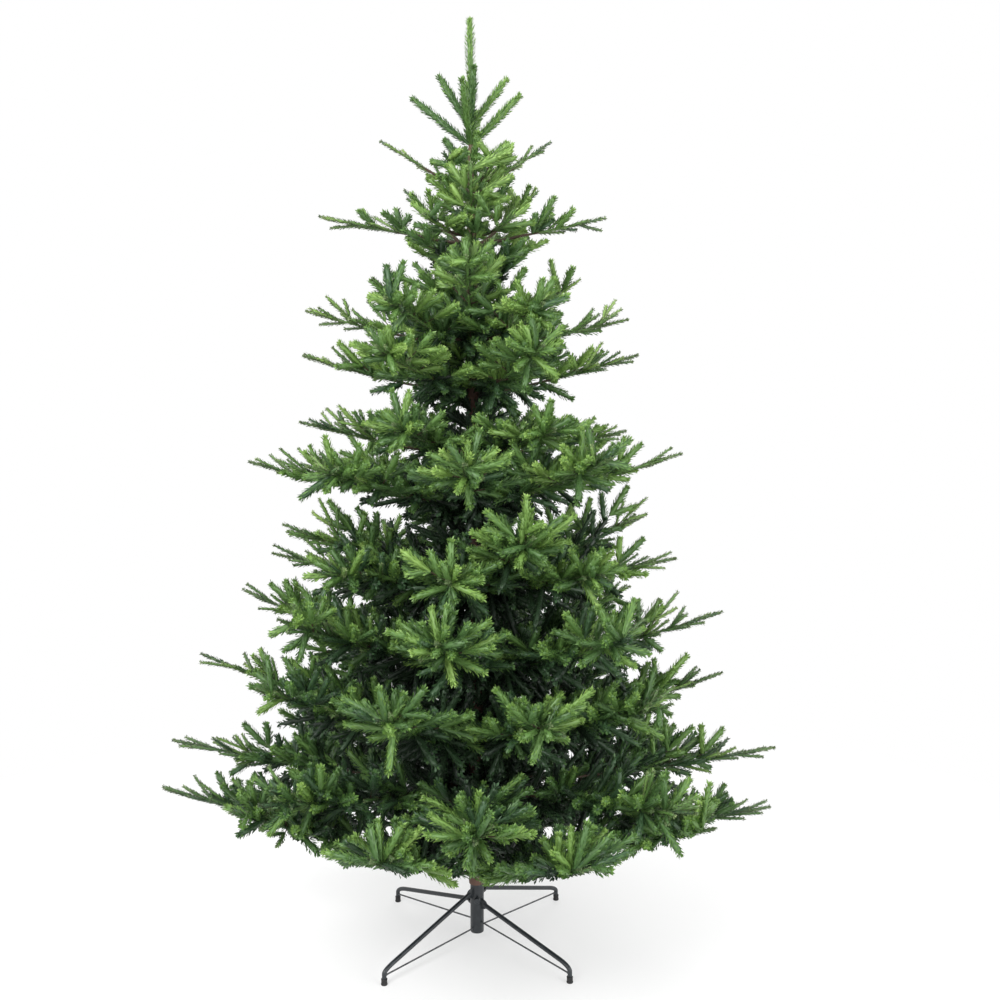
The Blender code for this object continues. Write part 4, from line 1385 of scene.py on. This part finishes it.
    def grow_core(self, crown: Crown, rng: random.Random) -> None:
        """Adds short twigs round the trunk between this whorl and the next: dark ones low down, which stand for
        painted shade, and green ones high up.
        """
        dress = self.dress
        low, top = self.core_heights()
        count = round((top - low) / dress.core_gap)
        for step in range(count):
            height = between(low, top, (step + 0.5) / count)
            side = outward(step * GOLDEN_ANGLE + 40.0 * self.whorl.index)
            place = trunk_axis(height) + side * (level_at(TRUNK_STATIONS, height) - SUNK)
            along = tipped(side, UP, math.radians(rng.uniform(*dress.core_tilt)))
            if dress.core_spray:
                # with the whorl's painted light of its height
                tone = 3.0 + self.painted_height_light + rng.gauss(0, 0.6)
                length = self.whorl.spray * rng.uniform(*dress.core_spray)
                Branchlet(place, along, UP, length, self.whorl.finger, tone).grow(crown, rng)
            else:
                # painted shade: dark fingers round the trunk
                tone, length = rng.uniform(*SHADE_TONES), rng.uniform(*dress.core_length)
                crown.add_shoot(Shoot(place, along, UP, length, tone, ShootKind.STRIP))

    def build(self) -> None:
        """Grows the whorl and puts its needles and its twigs in the place of its masses."""
        crown = Crown(self.bank)
        for order, bough in enumerate(self.boughs()):
            rng = random.Random(SEED + 1000 * self.whorl.index + order)
            away = self.whorl.turned_away(bough.azimuth)
            first = max(between(0.40, 0.32, away), (self.outer_start - bough.start) / bough.length)
            self.grow_wood(crown, bough)
            self.grow_inside(crown, bough, between(first + 0.12, 0.62, away), rng)
            self.grow_outside(crown, bough, first, rng)
            self.grow_sleeve(crown, bough, first, rng)
            self.grow_rosette(crown, bough, rng)
            self.grow_end(crown, bough, rng)
        self.grow_core(crown, random.Random(SEED + self.whorl.index))
        number = f"{self.whorl.index + 1:02d}"
        masses = [f"foliage_{number}_{mass + 1}" for mass in range(self.whorl.masses)]
        crown.make(number, masses, TWIG_MATERIALS[0])


@dataclass
class Leader:
    """The top of the tree: an upright leader with rings of shoots below it.

    A ring is the height of its roots, the height of its tips, its reach left and right and how far it is turned.
    """

    bank: NeedleBank
    rings: tuple[tuple[float, float, float, float, float], ...] = (
        (1.763, 1.836, 0.062, 0.086, 12.0),
        (1.826, 1.932, 0.134, 0.114, -8.0),
        (1.868, 1.974, 0.072, 0.084, 6.0),
    )
    in_ring: int = 4
    stem: tuple[Span, ...] = ((1.798, 0.0062), (1.860, 0.0048), (1.960, 0.0030), (2.085, 0.0010))  # height, radius
    sections: tuple[Span, ...] = ((1.822, 0.090), (1.895, 0.090), (1.968, 0.132))  # height, length
    lean: float = -0.006  # of the sections, to the side for each unit of rise
    tones: Span = (4.6, 4.2)  # of the sections and of the rings
    winding: Winding = Winding(0.010, 0.0004)

    def build(self) -> None:
        """Builds the leader."""
        crown = Crown(self.bank)
        line = smooth_line([trunk_axis(height) for height, _ in self.stem], 0.003)
        radii = np.array([level_at(self.stem, point[2]) for point in line])
        add_wound_tube(crown.twigs, line, radii, 10, self.winding)
        rng = random.Random(SEED)
        for height, length in self.sections:
            root = trunk_axis(height)
            along, flat = Vector((self.lean, 0, 1)), Vector((0, 1, 0))
            crown.add_shoot(Shoot(root, along, flat, length, self.tones[0], ShootKind.ROUND))
        for root_z, tip_z, left, right, turned in self.rings:
            for step in range(self.in_ring):
                azimuth = 180 + turned + 360 * step / self.in_ring
                toward = math.cos(math.radians(azimuth))
                reach = (left + right) / 2 + (right - left) / 2 * toward
                root = trunk_axis(root_z) + outward(azimuth) * 0.004
                along = trunk_axis(tip_z) + outward(azimuth) * reach - root
                tone = self.tones[1] + rng.gauss(0, 0.8)
                crown.add_shoot(Shoot(root, along, UP, along.length, tone, ShootKind.ROUND))
        crown.make("top", ["foliage_top"], TWIG_MATERIALS[1])


@dataclass
class Trunk:
    """The trunk: a pole in the stand's tube, and above it the wound brown wrap."""

    pole: tuple[Span, ...] = ((0.0233, 0.0136), (0.1363, 0.0136))  # height, radius
    sides: int = 40
    step: float = 0.0035
    winding: Winding = Winding(0.024, 0.0011)
    bough_sides: int = 14
    bough_step: float = 0.0022
    bough_radii: Span = (0.0072, 0.0056)
    bough_over: float = 0.012  # how far a bare bough runs on into the fork
    bough_winding: Winding = Winding(0.012, 0.0006)

    def build(self) -> None:
        """Builds the trunk in the place of its solid, and the bare boughs in the place of theirs."""
        stock = Stock()
        heights = np.arange(TRUNK_STATIONS[0][0], TRUNK_STATIONS[-1][0], self.step)
        line = np.array([tuple(trunk_axis(height)) for height in [*heights, TRUNK_STATIONS[-1][0]]])
        radii = np.array([level_at(TRUNK_STATIONS, height) for height in line[:, 2]])
        add_wound_tube(stock, line, radii, self.sides, self.winding)
        add_tube(stock, [(0, 0, height) for height, _ in self.pole], [radius for _, radius in self.pole], self.sides)
        ride(stock.make("trunk_wrapped", [TWIG_MATERIALS[1]]), ["trunk"])
        self.build_bare_boughs()

    def build_bare_boughs(self) -> None:
        """Builds the lowest whorl's five bare boughs, out to where they fork."""
        whorl, stock = WHORLS[0], Stock()
        names = []
        for mass in range(whorl.masses):
            middle = whorl.front + 360 / whorl.masses * mass + whorl.slot() * (whorl.forks - 1) / 2
            inner = level_at(TRUNK_STATIONS, whorl.root_z) - 0.001
            places = np.linspace(inner, BARE_BOUGH + self.bough_over, 8)
            points = [trunk_axis(whorl.height(distance)) + outward(middle) * distance for distance in places]
            line = smooth_line(points, self.bough_step)
            radii = np.linspace(*self.bough_radii, len(line))
            add_wound_tube(stock, line, radii, self.bough_sides, self.bough_winding)
            names.append(f"bough_{mass + 1}")
        ride(stock.make("boughs_bare", [TWIG_MATERIALS[1]]), names)


@dataclass(frozen=True)
class LegPlace:
    """One leg of the stand: its name, azimuth, height of its weld and height of its stay on the tube."""

    name: str
    azimuth: float
    weld_z: float
    stay_z: float


LEG_PLACES = (
    LegPlace("rear_right", 45.0, 0.116, 0.030),
    LegPlace("front_left", 225.0, 0.116, 0.030),
    LegPlace("rear_left", 135.0, 0.090, 0.0455),
    LegPlace("front_right", 315.0, 0.090, 0.0455),
)


@dataclass
class Stand:
    """The folding stand: a tube with four bent legs, rubber feet, stays and a thumb screw."""

    tube_radius: float = 0.0158
    bore: float = 0.0142
    tube_foot: float = 0.020
    tube_top: float = 0.136
    tube_rim: float = 0.0006
    leg_radius: float = 0.005
    leg_out: float = 0.283
    bend_out: float = 0.247
    bend_z: float = 0.043
    upright_z: float = 0.024
    leg_foot: float = 0.0033
    cap_radius: float = 0.0072
    cap_height: float = 0.014
    stay_radius: float = 0.0018
    stay_foot: float = 0.0200
    screw_z: float = 0.103
    tab: tuple[float, float, float] = (0.016, 0.0034, 0.026)

    def build(self) -> None:
        """Builds every piece of the stand."""
        self.paint = BLACK_PAINT.material()
        self.rubber = BLACK_RUBBER.material()
        self.rod = DARK_ROD.material()
        self.build_tube()
        self.build_screw()
        for place in LEG_PLACES:
            self.build_leg(place)
            self.build_foot(place)
            self.build_stay(place)

    def build_tube(self) -> None:
        """Builds the tube, with rolled rims and a closed floor."""
        wide, bore, foot, top, rim = self.tube_radius, self.bore, self.tube_foot, self.tube_top, self.tube_rim
        underside = ((0, foot + 0.0004), (wide - 0.0030, foot + 0.0004), (wide - 0.0016, foot), (wide - rim, foot))
        wall = ((wide, foot + 2 * rim), (wide, top - 2 * rim), (wide - rim / 2, top - rim / 2), (wide - rim, top))
        inside = ((bore + rim / 2, top), (bore, top - rim), (bore, foot + 0.003), (0, foot + 0.003))
        stock = Stock()
        add_turned(stock, underside + wall + inside, 48, Matrix())
        ride(stock.make("stand_socket", [self.paint]), ["stand_tube"])

    def build_screw(self) -> None:
        """Builds the thumb screw, with a grooved head."""
        place = Matrix.Translation((0, -(self.tube_radius - 0.0004), self.screw_z))
        place @= Matrix.Rotation(math.pi / 2, 4, "X")
        stem = ((0, 0), (0.0028, 0), (0.0028, 0.0078), (0, 0.0078))
        head = (
            (0, 0.0070), (0.0060, 0.0070), (0.0074, 0.0082), (0.0075, 0.0095), (0.0069, 0.0100),
            (0.0075, 0.0106), (0.0074, 0.0120), (0.0062, 0.0132), (0.0020, 0.0134), (0, 0.0134),
        )
        collar = ((0, 0.0002), (0.0050, 0.0002), (0.0046, 0.0022), (0, 0.0024))
        stock = Stock()
        for profile in (collar, stem, head):
            add_turned(stock, profile, 28, place)
        ride(stock.make("stand_screw", [self.paint]), ["stand_thumb_screw"])

    def leg_line(self, place: LegPlace) -> np.ndarray:
        """A leg's middle line: straight, round a bend and down into its foot."""
        start = Vector((self.tube_radius + self.tab[0] * 0.5, place.weld_z))
        knee = Vector((self.bend_out, self.bend_z))
        slope = (place.weld_z - self.bend_z) / self.bend_out
        corner = Vector((self.leg_out, self.bend_z - (self.leg_out - self.bend_out) * slope))
        below = Vector((self.leg_out, self.upright_z))
        line = [start.lerp(knee, share) for share in (0, 0.03, 0.25, 0.5, 0.75)]
        for share in np.linspace(0, 1, 13).tolist():
            line.append(knee.lerp(corner, share).lerp(corner.lerp(below, share), share))
        line.append(Vector((self.leg_out, self.leg_foot + 0.0005)))
        side = outward(place.azimuth)
        return np.array([tuple(side * point.x + Vector((0, 0, point.y))) for point in line])

    def build_leg(self, place: LegPlace) -> None:
        """Builds one leg with its tab and the weld along it."""
        stock = Stock()
        line = self.leg_line(place)
        add_tube(stock, line, [self.leg_radius] * len(line), 18)
        self.add_tab(stock, place)
        side, across = outward(place.azimuth), outward(place.azimuth + 90)
        for hand in (-1, 1):
            bead = [
                side * (self.tube_radius + 0.0004)
                + across * (hand * self.tab[1] * 0.6)
                + Vector((0, 0, place.weld_z + self.tab[2] * share))
                for share in (-0.44, -0.2, 0.0, 0.2, 0.44)
            ]
            add_tube(stock, bead, (0.0006, 0.0013, 0.0011, 0.0014, 0.0006), 8)
        ride(stock.make(f"stand_{place.name}_tube", [self.paint]), [f"stand_leg_{place.name}"])

    def add_tab(self, stock: Stock, place: LegPlace) -> None:
        """Adds the flat plate that joins a leg to the tube, with its edges broken."""
        length, thickness, height = self.tab
        side, across = outward(place.azimuth), outward(place.azimuth + 90)
        outline = ((0.0, -0.5), (0.0, 0.5), (0.75, 0.34), (1.0, 0.16), (1.0, -0.16), (0.75, -0.34))
        layers = ((-0.5, 0.94), (-0.38, 1.0), (0.38, 1.0), (0.5, 0.94))
        points = [
            side * (self.tube_radius + length * along)
            + across * (thickness * layer)
            + Vector((0, 0, place.weld_z + height * up * size))
            for layer, size in layers
            for along, up in outline
        ]
        sides = len(outline)
        body = np.array([tuple(point) for point in points])
        middles = [body[:sides].mean(axis=0), body[-sides:].mean(axis=0)]
        base = stock.add(np.vstack([body, middles]), tube_faces(len(layers), sides)[:, ::-1])
        stock.join(base, end_faces(len(layers), sides)[:, ::-1])

    def build_foot(self, place: LegPlace) -> None:
        """Builds the rubber cap on a leg's end, with a lip and a ring round its sole."""
        wide, bore, top = self.cap_radius, self.leg_radius + 0.0002, self.cap_height
        sole = ((0, 0), (wide - 0.0016, 0), (wide - 0.0006, 0.0003), (wide, 0.0012))
        side = ((wide, 0.0030), (wide - 0.0006, 0.0036), (wide - 0.0007, top - 0.0028), (wide - 0.0003, top - 0.0022))
        lip = ((wide - 0.0003, top - 0.0008), (wide - 0.0009, top), (bore, top), (bore, top - 0.002), (0, top - 0.002))
        stock = Stock()
        add_turned(stock, sole + side + lip, 32, Matrix.Translation(outward(place.azimuth) * self.leg_out))
        ride(stock.make(f"stand_{place.name}_cap", [self.rubber]), [f"stand_foot_{place.name}"])

    def build_stay(self, place: LegPlace) -> None:
        """Builds the thin rod between the tube and a leg's foot, with its welds."""
        side = outward(place.azimuth)
        inner = side * (self.tube_radius - 0.0003) + Vector((0, 0, place.stay_z))
        outer = side * (self.leg_out - self.leg_radius + 0.0008) + Vector((0, 0, self.stay_foot))
        shares = (0.0, 0.006, 0.012, 0.025, 0.5, 0.975, 0.988, 0.994, 1.0)
        swells = (1.5, 1.6, 1.25, 1.0, 1.0, 1.0, 1.2, 1.5, 1.2)
        stock = Stock()
        line = [inner.lerp(outer, share) for share in shares]
        add_tube(stock, line, [self.stay_radius * size for size in swells], 12)
        ride(stock.make(f"stand_{place.name}_rod", [self.rod]), [f"stand_stay_{place.name}"])


@dataclass
class Studio:
    """The pale floor, the soft lights and the camera."""

    floor_radius: float = 14.0
    camera_place: tuple[float, float, float] = (0.0, -2.40, 1.20)
    camera_down: float = 4.0
    camera_turn: float = -1.28
    lens: float = 38.0
    sky: float = 1.0
    lights: tuple[tuple[str, tuple[float, float, float], float, float], ...] = (
        ("key", (-1.9, -2.7, 3.0), 1.6, 130.0),
        ("fill", (2.4, -2.2, 1.6), 1.8, 60.0),
        ("back", (0.6, 3.0, 2.6), 1.6, 30.0),
    )

    def build(self) -> None:
        """Builds the studio. The plain view transform keeps white white, as in a catalogue photograph."""
        bpy.context.scene.view_settings.view_transform = "Standard"
        self.build_floor()
        self.build_sky()
        for name, place, size, power in self.lights:
            self.add_light(name, Vector(place), size, power)
        self.add_camera()

    def build_floor(self) -> None:
        """Builds the floor as a wide disc."""
        sides = 96
        turn = np.arange(sides) * math.tau / sides
        rim = np.stack([np.cos(turn), np.sin(turn), np.zeros(sides)], axis=-1) * self.floor_radius
        stock = Stock()
        stock.add(np.vstack([rim, np.zeros((1, 3))]), cap_faces(0, sides, sides, True))
        stock.make("floor", [FLOOR.material()], smooth=False)

    def build_sky(self) -> None:
        """Surrounds the scene with even white light."""
        world = bpy.data.worlds.new("studio")
        world.use_nodes = True
        background = world.node_tree.nodes["Background"]
        background.inputs["Color"].default_value = (1.0, 1.0, 1.0, 1.0)
        background.inputs["Strength"].default_value = self.sky
        bpy.context.scene.world = world

    def add_light(self, name: str, place: Vector, size: float, power: float) -> None:
        """Adds a square soft light that faces the tree's middle."""
        lamp = bpy.data.lights.new(name, "AREA")
        lamp.size = size
        lamp.energy = power
        light = bpy.data.objects.new(name, lamp)
        light.location = place
        light.rotation_euler = (Vector((0, 0, TREE_HEIGHT / 2)) - place).to_track_quat("-Z", "Y").to_euler()
        bpy.context.scene.collection.objects.link(light)

    def add_camera(self) -> None:
        """Adds the camera at the photograph's viewing angle."""
        lens = bpy.data.cameras.new("camera")
        lens.lens = self.lens
        camera = bpy.data.objects.new("camera", lens)
        camera.location = self.camera_place
        camera.rotation_euler = (math.radians(90 - self.camera_down), 0, math.radians(self.camera_turn))
        bpy.context.scene.collection.objects.link(camera)
        bpy.context.scene.camera = camera


NEEDLE_MATERIALS: list[bpy.types.Material] = []
TWIG_MATERIALS: list[bpy.types.Material] = []


def main() -> None:
    """Loads the solids and builds the looks round them."""
    logging.basicConfig(level=logging.INFO, format="%(name)s: %(message)s")
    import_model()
    NEEDLE_MATERIALS.extend(green.material() for green in GREENS + OLIVES)
    TWIG_MATERIALS.extend(wrap.material() for wrap in (TWIG_WRAP, TRUNK_WRAP))
    Studio().build()
    Stand().build()
    Trunk().build()
    bank = NeedleBank()
    for whorl in WHORLS:
        Tier(whorl, bank).build()
    Leader(bank).build()


if __name__ == "__main__":
    main()
